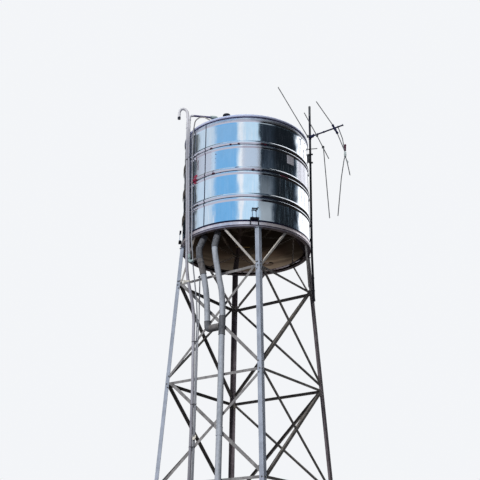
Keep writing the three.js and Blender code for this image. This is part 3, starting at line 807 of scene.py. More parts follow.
with piece("bottom_dished", "bottom_sheet", "polished_stainless", "tank_bottom", 40) as bm:
    radii = [DISH_R * share for share in shares(DISH_STEPS)]
    wall, edge = SHELL_R - SHELL_T - 0.0004, dish_height(DISH_R)
    turn(bm, ORIGIN, UP, [
        *((r, dish_height(r)) for r in radii), (wall, edge + 0.012), (wall, edge + 0.045),
        (wall - 0.003, edge + 0.045), (wall - 0.003, edge + 0.014),
        *((r, dish_height(r) + 0.003) for r in reversed(radii[:-1])),
    ], 128)
    radius = PAD_PLACE.length
    down = PAD_PLACE / radius * (2 * DISH_DEPTH * radius / DISH_R ** 2) - UP
    turn(bm, PAD_PLACE + UP * dish_height(radius), down,
         [(0, -0.01), (PAD_R, -0.01), (PAD_R, 0.006), (PAD_R - 0.004, 0.01), (0, 0.01)], 48)

# Legs, bracing and knee braces: the frame's own bars, with softened edges and their fixings

def dress(node, material, bevel):
    """Gives a bar of the frame its finish and softens its edges."""
    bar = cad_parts[node]
    bar.data.materials.clear()
    bar.data.materials.append(MATERIALS[material])
    soften = bar.modifiers.new("soften", "BEVEL")
    soften.width = bevel
    soften.segments = 2
    soften.limit_method = "ANGLE"
    soften.angle_limit = math.radians(40)


# The right and back legs are darker than the front and left ones: painted shade.
for name in CORNERS:
    dress(f"leg_{name}", "galvanised_angle" if name in ("front", "left") else "weathered_leg", 0.0012)
    for side in "ab":
        dress(f"knee_brace_{name}_{side}", "knee_angle", 0.0008)
# The front left face's bracing is lit; the other faces' bracing is darker: painted shade.
for name in FACES:
    for bay in range(1, len(LEVELS)):
        shade = "weathered" if name == "front_left" else "dark"
        dress(f"bracing_{name}_bay_{bay}", f"{shade}_angle", 0.0008)


PLATE_IN, PLATE_T = 0.0495, 0.012     # a base plate's middle from the leg's heel, and its thickness
ANCHOR_ASIDE, ANCHOR_NUT = 0.095, (0.03, 0.018)


def leg_bolts(number, level):
    """Where bolts go through a flange at a level: the distance from the heel, the height and the depth."""
    depth = LEG_T + BRACE_T + BRACE_GAP
    rows = [] if number == 4 else [(0.03, level, depth), (0.05, level - 0.055, depth)]
    if number == 0:
        rows += [(0.03, KNEE_Z, depth + 0.001), (0.055, KNEE_Z, depth + 0.001)]
    elif number != 2:
        rows += [(0.055, level + DIAGONAL_ENDS[number - 1][0][0] + 0.009, depth)]
    return rows


for corner in range(4):
    with piece(f"fixings_{CORNERS[corner]}", "fastener_steel", "galvanised_steel") as bm:
        for face, sign in ((corner, 1), ((corner + 3) % 4, -1)):
            along, out, _ = face_axes(face)
            for number, level in enumerate(LEVELS):
                for distance, z, depth in leg_bolts(number, level):
                    point = heel(corner, z) + along * sign * distance
                    hex_bolt(bm, point, out)
                    hex_bolt(bm, point - out * depth, -out, BOLT_END)
        along = face_axes(corner)[0]
        plate = heel(corner, 0) - polar(PLATE_IN, corner_angle(corner)) + UP * PLATE_T
        for a in (-ANCHOR_ASIDE, ANCHOR_ASIDE):
            for b in (-ANCHOR_ASIDE, ANCHOR_ASIDE):
                point = plate + along * a + UP.cross(along) * b
                hex_bolt(bm, point, UP, ANCHOR_NUT)
                turn(bm, point, UP, [(0, 0), (0.009, 0), (0.009, 0.042), (0.007, 0.045), (0, 0.045)], 16)


def half_width(z):
    return (HEEL_R + BATTER * (DATUM - z)) * math.sqrt(0.5)


def crossing(face, bay):
    """Where a bay's diagonals cross: the distance from the face's middle and the height."""
    own = bay == 1 and FACES[face] == "front_left"
    lines = []
    for low_end, high_end in LEFT_FRONT_SECOND_BAY if own else DIAGONAL_ENDS[bay]:
        low, high = LEVELS[bay + 1] + low_end, LEVELS[bay] + high_end
        reach = half_width(low) - END_INSET
        slope = (high - low) / (reach + half_width(high) - END_INSET)
        lines.append((low + slope * reach, slope))
    (rising_z, rising_slope), (falling_z, falling_slope) = lines
    u = (falling_z - rising_z) / (rising_slope + falling_slope)
    return u, rising_z + rising_slope * u


with piece("crossing_bolts", "fastener_steel", "weathered_steel") as bm:
    for face in range(4):
        out = face_axes(face)[1]
        for bay in range(len(DIAGONAL_ENDS)):
            point = face_point(face, *crossing(face, bay)) - out * (LEG_T + BRACE_GAP)
            hex_bolt(bm, point, out)
            hex_bolt(bm, point - out * BRACE_T, -out, BOLT_END)

# Hold-down clamps over the ring beside each leg: a bar with two jaws, two rods and a crossbar

CLAMP_ASIDE = math.radians(3.4)       # how far round the ring a clamp lies from its leg


def add_clamp(bm, angle):
    out, across = polar(1, angle), polar(1, angle + math.pi / 2)

    def part(sideways, proud, rise, size, bevel=0.003, axis=across):
        centre = across * sideways + out * (RING_R + proud) + UP * (RING_TOP + rise)
        block(bm, centre, (axis, out), size, bevel)

    part(0, 0.027, 0.014, (0.136, 0.044, 0.016))
    for side, low in ((-1, -0.081), (1, -0.089)):
        part(side * 0.062, 0.0044, (low + 0.006) / 2, (0.016, 0.008, 0.011 - low), 0.002)
        part(side * 0.062, 0.01, low + 0.006, (0.022, 0.018, 0.012))
        rod = across * side * 0.031 + out * (RING_R + 0.03) + UP * RING_TOP
        rod_top = 0.192 if side > 0 else 0.188
        turn(bm, rod, UP, [(0, 0.006), (0.004, 0.006), (0.004, rod_top), (0.003, rod_top + 0.003),
                           (0, rod_top + 0.003)], 14, 1)
        for rise in (0.022, 0.16):
            stud(bm, rod + UP * rise, UP, 0.011, 0.01, 6)
    part(0, 0.024, 0.178, (0.084, 0.03, 0.012))
    part(0.046, 0.024, 0.186, (0.03, 0.03, 0.012), axis=across * 0.8 + UP * 0.6)


for corner, name in enumerate(CORNERS):
    clamp = f"hold_down_clamp_{name}"
    with piece(f"clamp_{name}_forged", "black_steel folded_hem", "black_steel", clamp) as bm:
        add_clamp(bm, corner_angle(corner) - CLAMP_ASIDE)

# Pipes on the left front of the tank and tower. Their lower runs lie against the braces.

PIPE_FACE = 3
THICK_R, VENT_R, OVERFLOW_R, HOSE_R = 0.0445, 0.024, 0.0167, 0.01
PIPE_GAP = 0.0005
ALONG, OUT, UPWARD = face_axes(PIPE_FACE)


def against_face(radius, pairs):
    """Centre points of a pipe on the braces, from pairs of (distance from the face's middle, height)."""
    points = []
    for distance, z in pairs:
        middle = face_point(PIPE_FACE, 0, z)
        level = Vector((middle.x, middle.y, 0)).normalized()
        points.append(face_point(PIPE_FACE, distance, z) + level * (radius - LEG_T + PIPE_GAP))
    return points


DOWN_ON_FACE = [(0.176, 5.522), (0.175, 5.289), (0.194, 4.622), (0.222, 3.168), (0.289, 0.02)]
VENT_ON_FACE = [(-0.377, 5.552), (-0.364, 5.233), (-0.328, 4.612), (-0.305, 3.877), (-0.291, 3.209),
                (-0.208, 0.03)]
HOSE_ON_FACE = [(-0.323, 5.547), (-0.319, 5.228), (-0.293, 4.61), (-0.27, 3.876), (-0.256, 3.208),
                (-0.173, 0.03)]
CONDUIT_ON_FACE = [(-0.32, 6.25), (-0.3, 5.784), (-0.287, 5.54), (-0.291, 5.228), (-0.272, 4.61),
                   (-0.249, 3.876), (-0.235, 3.208), (-0.152, 0.03)]

down_route = Route([
    (-0.425, -0.739, 6.93), (-0.474, -0.93, 6.576), (-0.466, -0.93, 6.478), (-0.449, -0.92, 6.352),
    (-0.42, -0.91, 6.195), (-0.393, -0.89, 6.043), (-0.362, -0.866, 5.892), (-0.349, -0.83, 5.749),
    *against_face(THICK_R, DOWN_ON_FACE),
], 0.09)
outlet_route = Route([
    (-0.63, -0.571, 6.93), (-0.717, -0.782, 6.59), (-0.707, -0.782, 6.458), (-0.657, -0.76, 6.253),
    (-0.625, -0.74, 6.099), (-0.6, -0.72, 5.946), (-0.584, -0.692, 5.793), (-0.577, -0.662, 5.624),
    *against_face(THICK_R, [(-0.096, 5.447), (-0.084, 5.346), (0.03, 5.346), (0.15, 5.346)]),
], 0.09)
vent_route = Route([
    (-1.127, -0.47, 9.085), (-1.127, -0.47, 9.215), (-1.108, -0.47, 9.27), (-1.066, -0.47, 9.292),
    (-1.018, -0.47, 9.272), (-0.99, -0.47, 9.215), (-0.98, -0.47, 9.1), (-0.974, -0.472, 8.482),
    (-0.944, -0.529, 7.544), (-0.926, -0.56, 6.985), (-0.914, -0.58, 6.489), (-0.906, -0.58, 6.323),
    (-0.886, -0.57, 6.163), (-0.852, -0.555, 6.006), (-0.82, -0.532, 5.85), (-0.8, -0.5, 5.712),
    *against_face(VENT_R, VENT_ON_FACE),
], 0.06)
overflow_route = Route([
    (-0.478, -0.468, 8.9), (-0.478, -0.47, 9.108), (-0.942, -0.548, 9.108), (-0.943, -0.52, 8.452),
    (-0.899, -0.592, 7.0), (-0.872, -0.64, 6.515), (-0.868, -0.65, 6.424), (-0.738, -0.752, 6.444),
], 0.05)
hose_route = Route([
    (-0.56, -0.79, 8.815), (-0.575, -0.808, 8.85), (-0.676, -0.778, 8.929), (-0.76, -0.739, 8.958),
    (-0.84, -0.69, 8.925), (-0.868, -0.624, 8.78), (-0.876, -0.614, 8.409), (-0.86, -0.638, 7.491),
    (-0.844, -0.66, 6.79), (-0.824, -0.66, 6.59), (-0.811, -0.65, 6.378), (-0.783, -0.63, 6.14),
    (-0.765, -0.6, 5.989), (-0.748, -0.56, 5.839), *against_face(HOSE_R, HOSE_ON_FACE),
], 0.09)
conduit_route = Route(against_face(HOSE_R, CONDUIT_ON_FACE), 0.06)
PAST_BEND = 0.5                       # a distance beyond the bend at the top of a route

with piece("down_pipe_run", "pale_pipe dark_fitting bore", "grey_pvc", "down_pipe") as bm:
    at = down_route.height
    tube(bm, down_route.points, THICK_R, 32, bore_end=0.08, inside=2)
    sleeves(bm, down_route, THICK_R, [(0.02, at(6.7), 0.005, 1), (at(6.69), at(6.56), 0.0045, 1),
                                      (at(5.505), at(5.215), 0.005, 1), (at(3.86), at(3.74), 0.0035, 0)])

with piece("outlet_pipe_run", "pale_pipe dark_fitting crusted_fitting", "grey_pvc", "outlet_pipe") as bm:
    at = outlet_route.height
    branch = at(5.4)
    tube(bm, outlet_route.points, THICK_R, 32)
    sleeves(bm, outlet_route, THICK_R, [
        (0.02, at(6.62), 0.005, 1), (at(6.61), at(6.44), 0.0045, 1), (at(6.43), at(6.37), 0.0075, 2),
        (at(6.36), at(6.19), 0.005, 2), (at(5.47), branch + 0.135, 0.005, 1),
    ])
    crust = [point + OUT * 0.0105 for point in outlet_route.part(branch + 0.1, outlet_route.length)]
    tube(bm, crust, THICK_R + 0.01, 32, 2)

with piece("vent_pipe_run", "riser_pipe black_plastic bore", "pale_pvc", "vent_pipe") as bm:
    tube(bm, vent_route.points, VENT_R, 28, bore_start=0.1, bore_end=0.08, inside=2)
    rim = vent_route.part(0.0, 0.035)
    tube(bm, [rim[0] + UP * 0.001, rim[-1]], VENT_R + 0.0025, 28, 1)
    joints = [vent_route.height(z, PAST_BEND) for z in (8.95, 6.86)]
    sleeves(bm, vent_route, VENT_R, [(joint - 0.045, joint + 0.045, 0.003, 0) for joint in joints])

with piece("overflow_pipe_run", "riser_pipe sea_green_fitting shaded_pipe crusted_fitting", "pale_pvc",
           "overflow_pipe") as bm:
    tube(bm, overflow_route.points, OVERFLOW_R)
    for face in bm.faces:
        centre = face.calc_center_median()
        if centre.z > 9.08 and -0.92 < centre.x < -0.6:
            face.material_index = 2
    corner, foot, tee, bend = (overflow_route.height(z, PAST_BEND) for z in (9.05, 6.56, 6.49, 6.47))
    end = overflow_route.length
    sleeves(bm, overflow_route, OVERFLOW_R, [
        (0.13, 0.31, 0.013, 1), (corner - 0.1, corner + 0.03, 0.0035, 0), (foot, tee, 0.006, 1),
        (bend, end - 0.075, 0.0055, 1), (end - 0.07, end - 0.012, 0.003, 3),
    ])
    turn(bm, (-0.478, -0.468, roof_height(0.67) - 0.002), UP,
         [(0, 0), (0.045, 0), (0.045, 0.006), (0.024, 0.01), (0.022, 0.04), (0, 0.04)], 28)

with piece("level_hose_run", "weathered_hose bore fastener_steel", "hose", "level_hose") as bm:
    tube(bm, hose_route.points, HOSE_R, 18, bore_end=0.03, inside=1)
    gland = [(0, 0), (0.022, 0), (0.022, 0.008), (0.015, 0.012), (0.014, 0.028), (0.0115, 0.03), (0, 0.03)]
    turn(bm, hose_route.points[0], hose_route.points[1] - hose_route.points[0], gland, 20, 2)

with piece("conduit_run", "weathered_hose bore", "hose", "conduit") as bm:
    top = conduit_route.points[0]
    hook = [top - ALONG * 0.03 - UPWARD * 0.004, top - ALONG * 0.004 + UPWARD * 0.018,
            top + UPWARD * 0.004 + ALONG * 0.002]
    tube(bm, smooth_corners([*hook, *conduit_route.points[1:]], 0.02), HOSE_R, 18,
         bore_start=0.02, bore_end=0.03, inside=1)


def on_run(pairs, z):
    """The distance along the face of a run given by pairs, at a height."""
    for (d0, z0), (d1, z1) in zip(pairs, pairs[1:]):
        if z1 <= z <= z0:
            return d0 + (d1 - d0) * (z0 - z) / (z0 - z1)
    return pairs[0][0]


def hull(points):
    """The convex outline of flat points, in order."""
    points = sorted(points)

    def half(ordered):
        chain = []
        for p in ordered:
            while len(chain) > 1 and ((chain[-1][0] - chain[-2][0]) * (p[1] - chain[-2][1])
                                      <= (chain[-1][1] - chain[-2][1]) * (p[0] - chain[-2][0])):
                chain.pop()
            chain.append(p)
        return chain[:-1]

    return half(points) + half(points[::-1])


def tie_outline(level, grown=0.0012):
    """A wire's round about the three thin runs, as (distance along the face, depth) points."""
    outline = []
    for pairs, radius in ((VENT_ON_FACE, VENT_R), (HOSE_ON_FACE, HOSE_R), (CONDUIT_ON_FACE, HOSE_R)):
        for angle in angles(20):
            depth = radius - LEG_T + PIPE_GAP + (radius + grown) * math.sin(angle)
            outline.append((on_run(pairs, level) + (radius + grown) * math.cos(angle), max(depth, -0.004)))
    return hull(outline)


# Wires that bind the three thin runs to each other, each with a twisted knot

TIE_HEIGHTS = (5.2, 4.24, 3.63, 2.1, 0.9)
TIE_R, TWIST_R = 0.0018, 0.0026

with piece("tie_wires", "wire", "black_steel") as bm:
    for z in TIE_HEIGHTS:
        for level in (z, z + 0.007):
            loop = [face_point(PIPE_FACE, aside, level) + OUT * depth for aside, depth in tie_outline(level)]
            tube(bm, loop + loop[:2], TIE_R, 8)
        knot = face_point(PIPE_FACE, on_run(CONDUIT_ON_FACE, z) + 0.012, z) + OUT * 0.012
        for along, out, up in ((0.022, 0.016, 0.012), (0.014, 0.02, -0.014)):
            tube(bm, [knot, knot + ALONG * along + OUT * out + UPWARD * up], TWIST_R, 8)

# A saddle that holds the conduit to the tower, and the clip below the tank with its tail

CLIP_Z = 3.752

with piece("pipe_clips", "clip_plastic", "pale_pvc") as bm:
    middle = face_point(PIPE_FACE, on_run(CONDUIT_ON_FACE, CLIP_Z) + 0.002, CLIP_Z) + OUT * 0.022
    block(bm, middle, (ALONG, OUT), (0.04, 0.012, 0.046), 0.003)
    block(bm, middle + ALONG * 0.026 + UPWARD * 0.02, (ALONG, OUT), (0.018, 0.01, 0.05), 0.003)
    point, direction = vent_route.at_height(6.14, PAST_BEND)
    collar(bm, point, direction, VENT_R + 0.001, 0.003, 0.012, 28)
    tail = Vector((-1, -0.1, 0.12)).normalized()
    across = direction.cross(tail)
    block(bm, point + tail * 0.052, (tail, across), (0.06, 0.005, 0.024), 0.0015)
    block(bm, point + tail * 0.07 - UP * 0.03, (tail - UP * 0.9, across), (0.05, 0.005, 0.02), 0.0015)

# A dark wire round the riser, tied back to the pipes beside the tank's second bead

WIRE_Z, WIRE_R = 8.3, 0.0035

with piece("riser_wire", "wire", "black_steel") as bm:
    point, direction = vent_route.at_height(WIRE_Z, PAST_BEND)
    collar(bm, point, direction + RIGHT * 0.35, VENT_R, 0.006, 0.005, 28)
    overflow = overflow_route.at_height(WIRE_Z + 0.02, 0.8)[0]
    hose = hose_route.at_height(WIRE_Z + 0.03, 0.4)[0]
    tube(bm, [point + FRONT * (VENT_R + 0.003), overflow + FRONT * (OVERFLOW_R + 0.003),
              hose + FRONT * (HOSE_R + 0.003) + Vector((0.012, 0, 0.006)),
              hose + Vector((0.03, 0.02, 0.06))], WIRE_R, 10)

# Bent aerial on a mast at the right of the tank

MAST_R, AERIAL_R, BOOM_R = 0.019, 0.008, 0.013
mast_route = Route([(1.108, 0, 9.631), (1.0712, 0, 6.915), (1.072, 0.012, 6.8), (1.0932, 0.1567, 6.15),
                    (1.0986, 0.1587, 6.08)], 0.04)
MAST_CLAMPS, BRACKET_BOLTS, LOWER_BANDS = (8.675, 8.515), (8.64, 8.56), (6.45, 6.25)
BOOM = [Vector((1.075, -0.024, 8.997)), Vector((1.22, -0.05, 9.042)), Vector((1.664, -0.15, 9.17))]


def ring_clamp(bm, z):
    """A clamp round the mast with two ears and its bolt on the outer side."""
    point, direction = mast_route.at_height(z)
    collar(bm, point, direction, MAST_R, 0.005, 0.012)
    ear = Vector((1, -0.15, 0)).normalized()
    across = UP.cross(ear)
    for side in (-1, 1):
        middle = point + ear * (MAST_R + 0.012) + across * side * 0.007
        block(bm, middle, (ear, across), (0.028, 0.005, 0.024), 0.001)
    for side in (1, -1):
        hex_bolt(bm, point + ear * (MAST_R + 0.014) + across * side * 0.0095, across * side, SMALL_BOLT)


with piece("mast_tube", "black_steel aerial_tube bore", "black_steel", "antenna_mast") as bm:
    tube(bm, mast_route.points, MAST_R, 28, bore_start=0.12, inside=2)
    top = mast_route.part(0.0, 0.2)
    tube(bm, [top[0].lerp(top[-1], 0.004), *top[1:]], MAST_R + 0.0006, 28, 1)
    block(bm, (1.064, 0, 8.6), LEVEL, (0.03, 0.046, 0.15), 0.003, 1)
    for z in MAST_CLAMPS:
        ring_clamp(bm, z)
    for z in BRACKET_BOLTS:
        hex_bolt(bm, (1.066, -0.023, z), FRONT, SMALL_BOLT)
    for z in LOWER_BANDS:
        collar(bm, *mast_route.at_height(z), MAST_R, 0.004, 0.01)

# A short stub tube that crosses behind the mast

STUB_Z = 8.805

with piece("side_stub", "aerial_tube", "antenna_aluminium") as bm:
    x = mast_route.at_height(STUB_Z)[0].x
    ends = [Vector((1.0458, 0.028, STUB_Z - 0.014)), Vector((x + 0.125, 0.028, STUB_Z + 0.004))]
    tube(bm, ends, 0.0075, 16, bore_end=0.02, wall=0.002)
    block(bm, (x, 0.012, STUB_Z - 0.006), LEVEL, (0.03, 0.03, 0.03), 0.003)

with piece("boom_tube", "boom_steel", "antenna_aluminium", "antenna_boom") as bm:
    first, run = (BOOM[1] - BOOM[0]).normalized(), (BOOM[2] - BOOM[1]).normalized()
    tube(bm, BOOM, BOOM_R, 20)
    cap = [(0, 0), (0.019, 0), (0.019, 0.011), (0.014, 0.0155), (0, 0.0155)]
    turn(bm, BOOM[2] - run * 0.014, run, cap, 20)
    clamp = Vector((1.132, -0.034, 9.012))
    block(bm, clamp, (first, UP), (0.07, 0.048, 0.04), 0.006)
    block(bm, clamp + first * 0.03 + UP * 0.02, (first, UP), (0.03, 0.03, 0.03), 0.006)
    collar(bm, *mast_route.at_height(8.985), MAST_R, 0.006, 0.016)
    for share in (0.02, 0.26):
        collar(bm, BOOM[1].lerp(BOOM[2], share), run, BOOM_R, 0.005, 0.013, 20)


def thin_tube(bm, points):
    """A thin aerial tube with open ends."""
    tube(bm, [Vector(point) for point in points], AERIAL_R, 16, bore_start=0.02, bore_end=0.02, wall=0.0018)


with piece("element_1_tube", "aerial_tube", "antenna_aluminium", "antenna_element_1") as bm:
    thin_tube(bm, smooth_corners([(0.564, 0, 10.034), (0.8, 0.002, 9.556), (1.0555, 0, 9.036)], 0.5))
    block(bm, (1.062, -0.004, 9.03), LEVEL, (0.034, 0.036, 0.044), 0.005)

with piece("element_2_tube", "aerial_tube black_steel", "antenna_aluminium", "antenna_element_2") as bm:
    y = -0.061
    thin_tube(bm, [(1.009, y, 9.467), (1.218, y, 9.004), (1.402, y, 8.562)])
    thin_tube(bm, smooth_corners([(1.318, y, 8.788), (1.343, y, 8.2), (1.376, y, 7.45)], 1.5))
    block(bm, (1.313, y, 8.796), LEVEL, (0.04, 0.026, 0.022), 0.006, 1)
    for x in (1.298, 1.328):
        block(bm, (x, y, 8.778), LEVEL, (0.011, 0.024, 0.044), 0.004, 1)
    hex_bolt(bm, (1.313, y - 0.013, 8.796), FRONT, SMALL_HEAD, 1)
    block(bm, (1.219, y + 0.012, 9.02), LEVEL, (0.036, 0.03, 0.05), 0.006, 1)

with piece("element_3_tube", "aerial_tube black_steel dark_red_plastic pale_tape boom_steel",
           "antenna_aluminium", "antenna_element_3") as bm:
    y = -0.15
    thin_tube(bm, [(1.216, y, 9.641), (1.482, y, 9.172), (1.555, y, 9.008), (1.668, y, 8.652)])
    hub, lean = Vector((1.52, y, 9.086)), Vector((0.42, 0, -0.907)).normalized()
    for down, size in ((0, (0.2, 0.034, 0.03)), (-0.082, (0.032, 0.036, 0.042)),
                       (0.078, (0.04, 0.036, 0.04)), (0, (0.05, 0.036, 0.042))):
        block(bm, hub + lean * down, (lean, BACK), size, 0.008, 4)
    for down in (-0.06, 0.06):
        hex_bolt(bm, hub + lean * down + FRONT * 0.017, FRONT, SMALL_HEAD, 4)
    stay_top = BOOM[1].lerp(BOOM[2], 0.8)
    thin_tube(bm, [stay_top, (1.64, y, 8.9), (1.668, y, 8.64)])
    stud(bm, stay_top + BACK * 0.016, FRONT, 0.014, 0.03, 16, 1)
    upright = (Vector((0.06, 0, 1)), BACK)
    block(bm, (1.676, y, 8.722), upright, (0.138, 0.034, 0.034), 0.01, 2)
    block(bm, (1.679, y, 8.772), upright, (0.032, 0.038, 0.04), 0.01, 2)
    block(bm, (1.672, y, 8.6), (UP, BACK), (0.1, 0.032, 0.034), 0.008, 3)
    for z, width in ((8.566, 0.0385), (8.592, 0.04), (8.622, 0.0375)):
        block(bm, (1.672, y, z), (UP, BACK), (0.016, width, width), 0.005, 3)
    thin_tube(bm, [(1.672, y, 8.56), (1.7, y, 8.44), (1.735, y, 8.2)])
    block(bm, (1.702, y, 8.468), (Vector((0.5, 0, -0.8)), BACK), (0.06, 0.012, 0.02), 0.004, 3)
    thin_tube(bm, [(1.672, y, 8.56), (1.65, y, 8.5), (1.588, y, 8.148), (1.503, y, 7.45)])

# Stage: pale floor and backdrop, and the open-air surroundings that only reflections see

FOLIAGE_DARK = (0.008, 0.01, 0.014)
FOLIAGE = (0.044, 0.064, 0.094)
FOLIAGE_GREEN = (0.036, 0.046, 0.046)
LEAF_DARK = (0.01, 0.016, 0.02)
SKY_BLUE = (0.19, 0.48, 0.83)
SKY_PALE = (0.56, 0.8, 1.0)
HAZE = (0.58, 0.73, 0.88)
HAZE_GREY = (0.42, 0.48, 0.53)
HAZE_HIGH = (0.6, 0.64, 0.66)
CLOUD = (0.98, 1.0, 1.04)
CLOUD_BRIGHT = (1.42, 1.45, 1.5)
WALL = (0.56, 0.56, 0.66)
EARTH = (0.014, 0.0115, 0.01)
EARTH_PALE = (0.21, 0.175, 0.14)
EARTH_MID = (0.1, 0.085, 0.07)
BACKDROP = (0.9, 0.915, 0.94)
# What stands round the tower at the height that the shell reflects, by the angle in degrees
# from the front toward the right.
SURROUNDINGS = [
    (-180, CLOUD), (-166, CLOUD), (-158, FOLIAGE_DARK), (-124, FOLIAGE_DARK), (-117, FOLIAGE_GREEN),
    (-103, FOLIAGE_GREEN), (-99, HAZE_GREY), (-93, HAZE), (-64, HAZE), (-54, SKY_BLUE), (-18, SKY_BLUE),
    (-14, SKY_PALE), (-11, CLOUD), (-7, CLOUD), (-4, SKY_PALE), (22, SKY_PALE), (26, FOLIAGE), (48, FOLIAGE),
    (56, FOLIAGE_DARK), (94, FOLIAGE_DARK), (101, FOLIAGE), (105, HAZE_GREY), (110, CLOUD_BRIGHT),
    (180, CLOUD_BRIGHT),
]
# By the same angle, where trees stand, where thin cloud pales the sky, where the trees thin out, where
# light shows between their trunks and where the sky is hazy.
TREES = [(-180, 0), (-160, 0), (-156, 1), (-103, 1), (-99, 0), (22, 0), (26, 1), (94, 1),
         (101, 0.3), (106, 0), (180, 0)]
WISPS = [(-180, 0), (-95, 0), (-90, 0.7), (-60, 0.7), (-54, 0.12), (-18, 0.12), (-14, 0.7), (22, 0.7),
         (25, 0), (180, 0)]
CLEARING = [(-180, 0), (22, 0), (26, 0.9), (44, 0.8), (50, 0), (180, 0)]
TRUNKS = [(-180, 0), (50, 0), (58, 1), (100, 1), (108, 0.3), (180, 0.3)]
HAZY = [(-180, 0), (-90, 1), (20, 1), (24, 0), (180, 0)]
# The colours low down and high up, and how much of the pale ground lies in each direction.
LOW_SURROUNDINGS = [
    (-180, EARTH_MID), (-150, EARTH_MID), (-118, EARTH), (-108, WALL), (16, WALL), (28, FOLIAGE_DARK),
    (100, EARTH), (160, EARTH), (169, EARTH_PALE), (176, EARTH_PALE), (180, EARTH_MID),
]
HIGH_SURROUNDINGS = [(-180, HAZE), (20, SKY_PALE), (32, FOLIAGE), (104, FOLIAGE), (120, HAZE), (180, HAZE)]
GROUND_SHARE = [
    (-180, 0.45), (-172, 0.4), (-165, 0.65), (-140, 0.5), (-90, 0.2), (0, 0), (120, 0.1), (160, 0.25),
    (166, 0.35), (169, 1), (176, 1), (179, 0.5), (180, 0.45),
]
# How far the borders between them wander, in radians, and how much faster they do so upward.
WAVINESS, WAVE_RISE, LOW_WAVINESS = 0.6, 12.0, 0.3
SURROUND_R, SURROUND_LOW, SURROUND_HIGH = 40.0, -1.0, 120.0
FLOOR_R, BACKDROP_R = 54.0, 55.0


def stage(name, bm, *seen_by):
    """Scenery that only the listed kinds of light rays meet, in the material of the same name."""
    made = add_mesh(name, bm, name)
    for kind in ("camera", "diffuse", "glossy", "transmission", "volume_scatter", "shadow"):
        setattr(made, f"visible_{kind}", kind in seen_by)


def glow(name):
    """A material that only shines."""
    finish = Finish(name)
    nodes = finish.tree.nodes
    nodes.remove(finish.shader)
    finish.shader = nodes.new("ShaderNodeEmission")
    finish.tree.links.new(finish.shader.outputs[0], nodes["Material Output"].inputs["Surface"])
    return finish


def by_angle(finish, stops, waviness=LOW_WAVINESS, rise=1.0):
    """A ramp round the tower, its borders made wavy by a noise that changes faster upward by a factor."""
    ragged = finish.noise(0.16, 7.0, 0.66, (1.0, 1.0, rise))
    turned = (finish.angle() + (ragged - 0.5) * waviness).reckon("MULTIPLY_ADD", 1 / (2 * math.pi), 0.5)
    return turned.ramp(*(((degrees + 180) / 360, colour) for degrees, colour in stops))


# Heights that the shell mirrors: where the ground ends, where the clearing darkens in two steps, how
# high light shows between the trunks, and where the tree tops and the haze begin.
GROUND_EDGE, CLEARING_EDGE, CLEARING_TOP = (17.0, 20.5), (25.9, 26.8), (27.7, 28.3)
TRUNK_TOPS, TREE_TOPS, HAZE_EDGE = (28.4, 29.4), (28.8, 30.0), (28.8, 31.5)


def surroundings_finish():
    """Sky, clouds and trees. A metre of the shell's height mirrors only a few metres of them."""
    finish = glow("surroundings")
    over = finish.z.between
    bands, trees, clearing, wispy = (
        by_angle(finish, stops, WAVINESS, WAVE_RISE) for stops in (SURROUNDINGS, TREES, CLEARING, WISPS))
    leaves = finish.noise(0.42, 6.0, 0.72, (1.0, 1.0, 7.0))
    bands = (leaves.ramp((0.47, 0.0), (0.56, 0.8)) * trees).mix(bands, LEAF_DARK)
    bands = (leaves.ramp((0.36, 0.2), (0.44, 0.0)) * trees).mix(bands, HAZE_GREY)
    below = 1.0 - over(*CLEARING_EDGE) * 0.66 - over(*CLEARING_TOP) * 0.34
    bands = (clearing * below).mix(bands, HAZE_GREY)
    wisps = finish.noise(0.55, 7.0, 0.72, (1.0, 1.0, 1.6)).ramp((0.48, 0.0), (0.62, 0.6))
    bands = (wisps * wispy).mix(bands, CLOUD)
    gaps = finish.noise(1.1, 6.0, 0.7, (1.0, 1.0, 0.5)).ramp((0.58, 0.0), (0.66, 0.42))
    trunks = by_angle(finish, TRUNKS, 0.1, 2.0) * (1.0 - over(*TRUNK_TOPS))
    bands = (gaps * trunks).mix(bands, SKY_PALE)
    bands = (over(*TREE_TOPS) * 0.5 * trees).mix(bands, FOLIAGE_DARK)
    bands = (over(*HAZE_EDGE) * 0.15 * by_angle(finish, HAZY, 0.05)).mix(bands, HAZE_HIGH)
    finish.give({"Color": over(*GROUND_EDGE).mix(by_angle(finish, LOW_SURROUNDINGS), bands)})


def ground_finish():
    """Shaded earth near the tower and paler ground farther behind it."""
    finish = glow("low_ground")
    away = finish.place.node("ShaderNodeVectorMath", {}, "Value", operation="LENGTH")
    ragged = (finish.noise(0.35, 6.0, 0.6) - 0.5).reckon("MULTIPLY_ADD", 9.0, away)
    patches = finish.noise(0.11).ramp((0.42, 0.45), (0.58, 1.0))
    share = ragged.between(9.0, 20.0) * by_angle(finish, GROUND_SHARE) * patches
    front = finish.y < 0.0
    finish.give({"Color": front.mix(share.mix(EARTH, EARTH_PALE), by_angle(finish, LOW_SURROUNDINGS))})


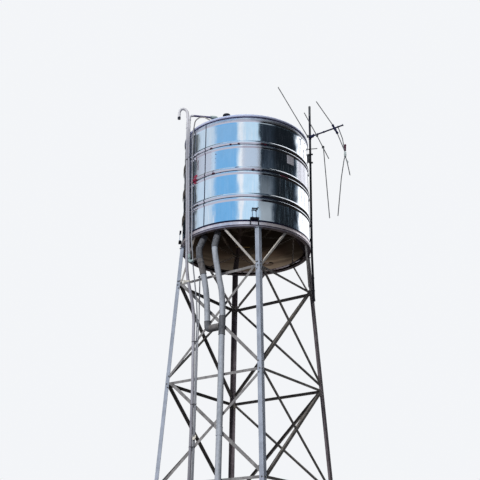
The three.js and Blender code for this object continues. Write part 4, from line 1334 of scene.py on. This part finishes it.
def sky_finish():
    finish = glow("high_sky")
    puffs = finish.noise(0.05, 5.0).ramp((0.5, 0.0), (0.7, 0.5))
    finish.give({"Color": puffs.mix(by_angle(finish, HIGH_SURROUNDINGS), HAZE)})


def floor_finish():
    finish = Finish("floor", 0.9, specular=0.2)
    finish.give({"Base Color": finish.noise(0.5).ramp((0.3, 0.7), (0.7, 0.74)),
                 "Emission Color": BACKDROP, "Emission Strength": 0.39})


def make_disc(name, radius, z, *seen_by):
    bm = bmesh.new()
    bmesh.ops.create_circle(bm, cap_ends=True, segments=96, radius=radius)
    bmesh.ops.translate(bm, verts=bm.verts, vec=(0, 0, z))
    stage(name, bm, *seen_by)


def make_stage():
    surroundings_finish()
    bm = bmesh.new()
    low, high = (circle(bm, UP * z, *LEVEL, SURROUND_R, 96) for z in (SURROUND_LOW, SURROUND_HIGH))
    bridge(bm, high, low, 0)
    stage("surroundings", bm, "glossy")
    ground_finish()
    make_disc("low_ground", SURROUND_R - 0.5, -0.004, "glossy")
    sky_finish()
    make_disc("high_sky", SURROUND_R - 0.5, SURROUND_HIGH - 0.5, "glossy")
    floor_finish()
    make_disc("floor", FLOOR_R, 0.0, "camera", "shadow")
    glow("backdrop").give({"Color": BACKDROP})
    bm = bmesh.new()
    bmesh.ops.create_icosphere(bm, subdivisions=4, radius=BACKDROP_R)
    stage("backdrop", bm, "camera")


make_stage()

# Light: a soft sun from the left front and a pale sky

FROM_SUN = Vector((0.37, 0.696, -0.616))


def make_light():
    data = bpy.data.lights.new("soft_sun", "SUN")
    data.energy = 2.9
    data.angle = math.radians(9)
    data.color = (1.0, 0.98, 0.95)
    sun = add_object("soft_sun", data)
    sun.visible_glossy = False
    sun.rotation_euler = FROM_SUN.to_track_quat("-Z", "Y").to_euler()
    world = bpy.data.worlds.new("pale_sky")
    world.use_nodes = True
    feed(world.node_tree.nodes["Background"], {"Color": (0.9, 0.93, 1.0), "Strength": 0.16})
    bpy.context.scene.world = world


make_light()
bpy.context.scene.view_settings.view_transform = "Standard"
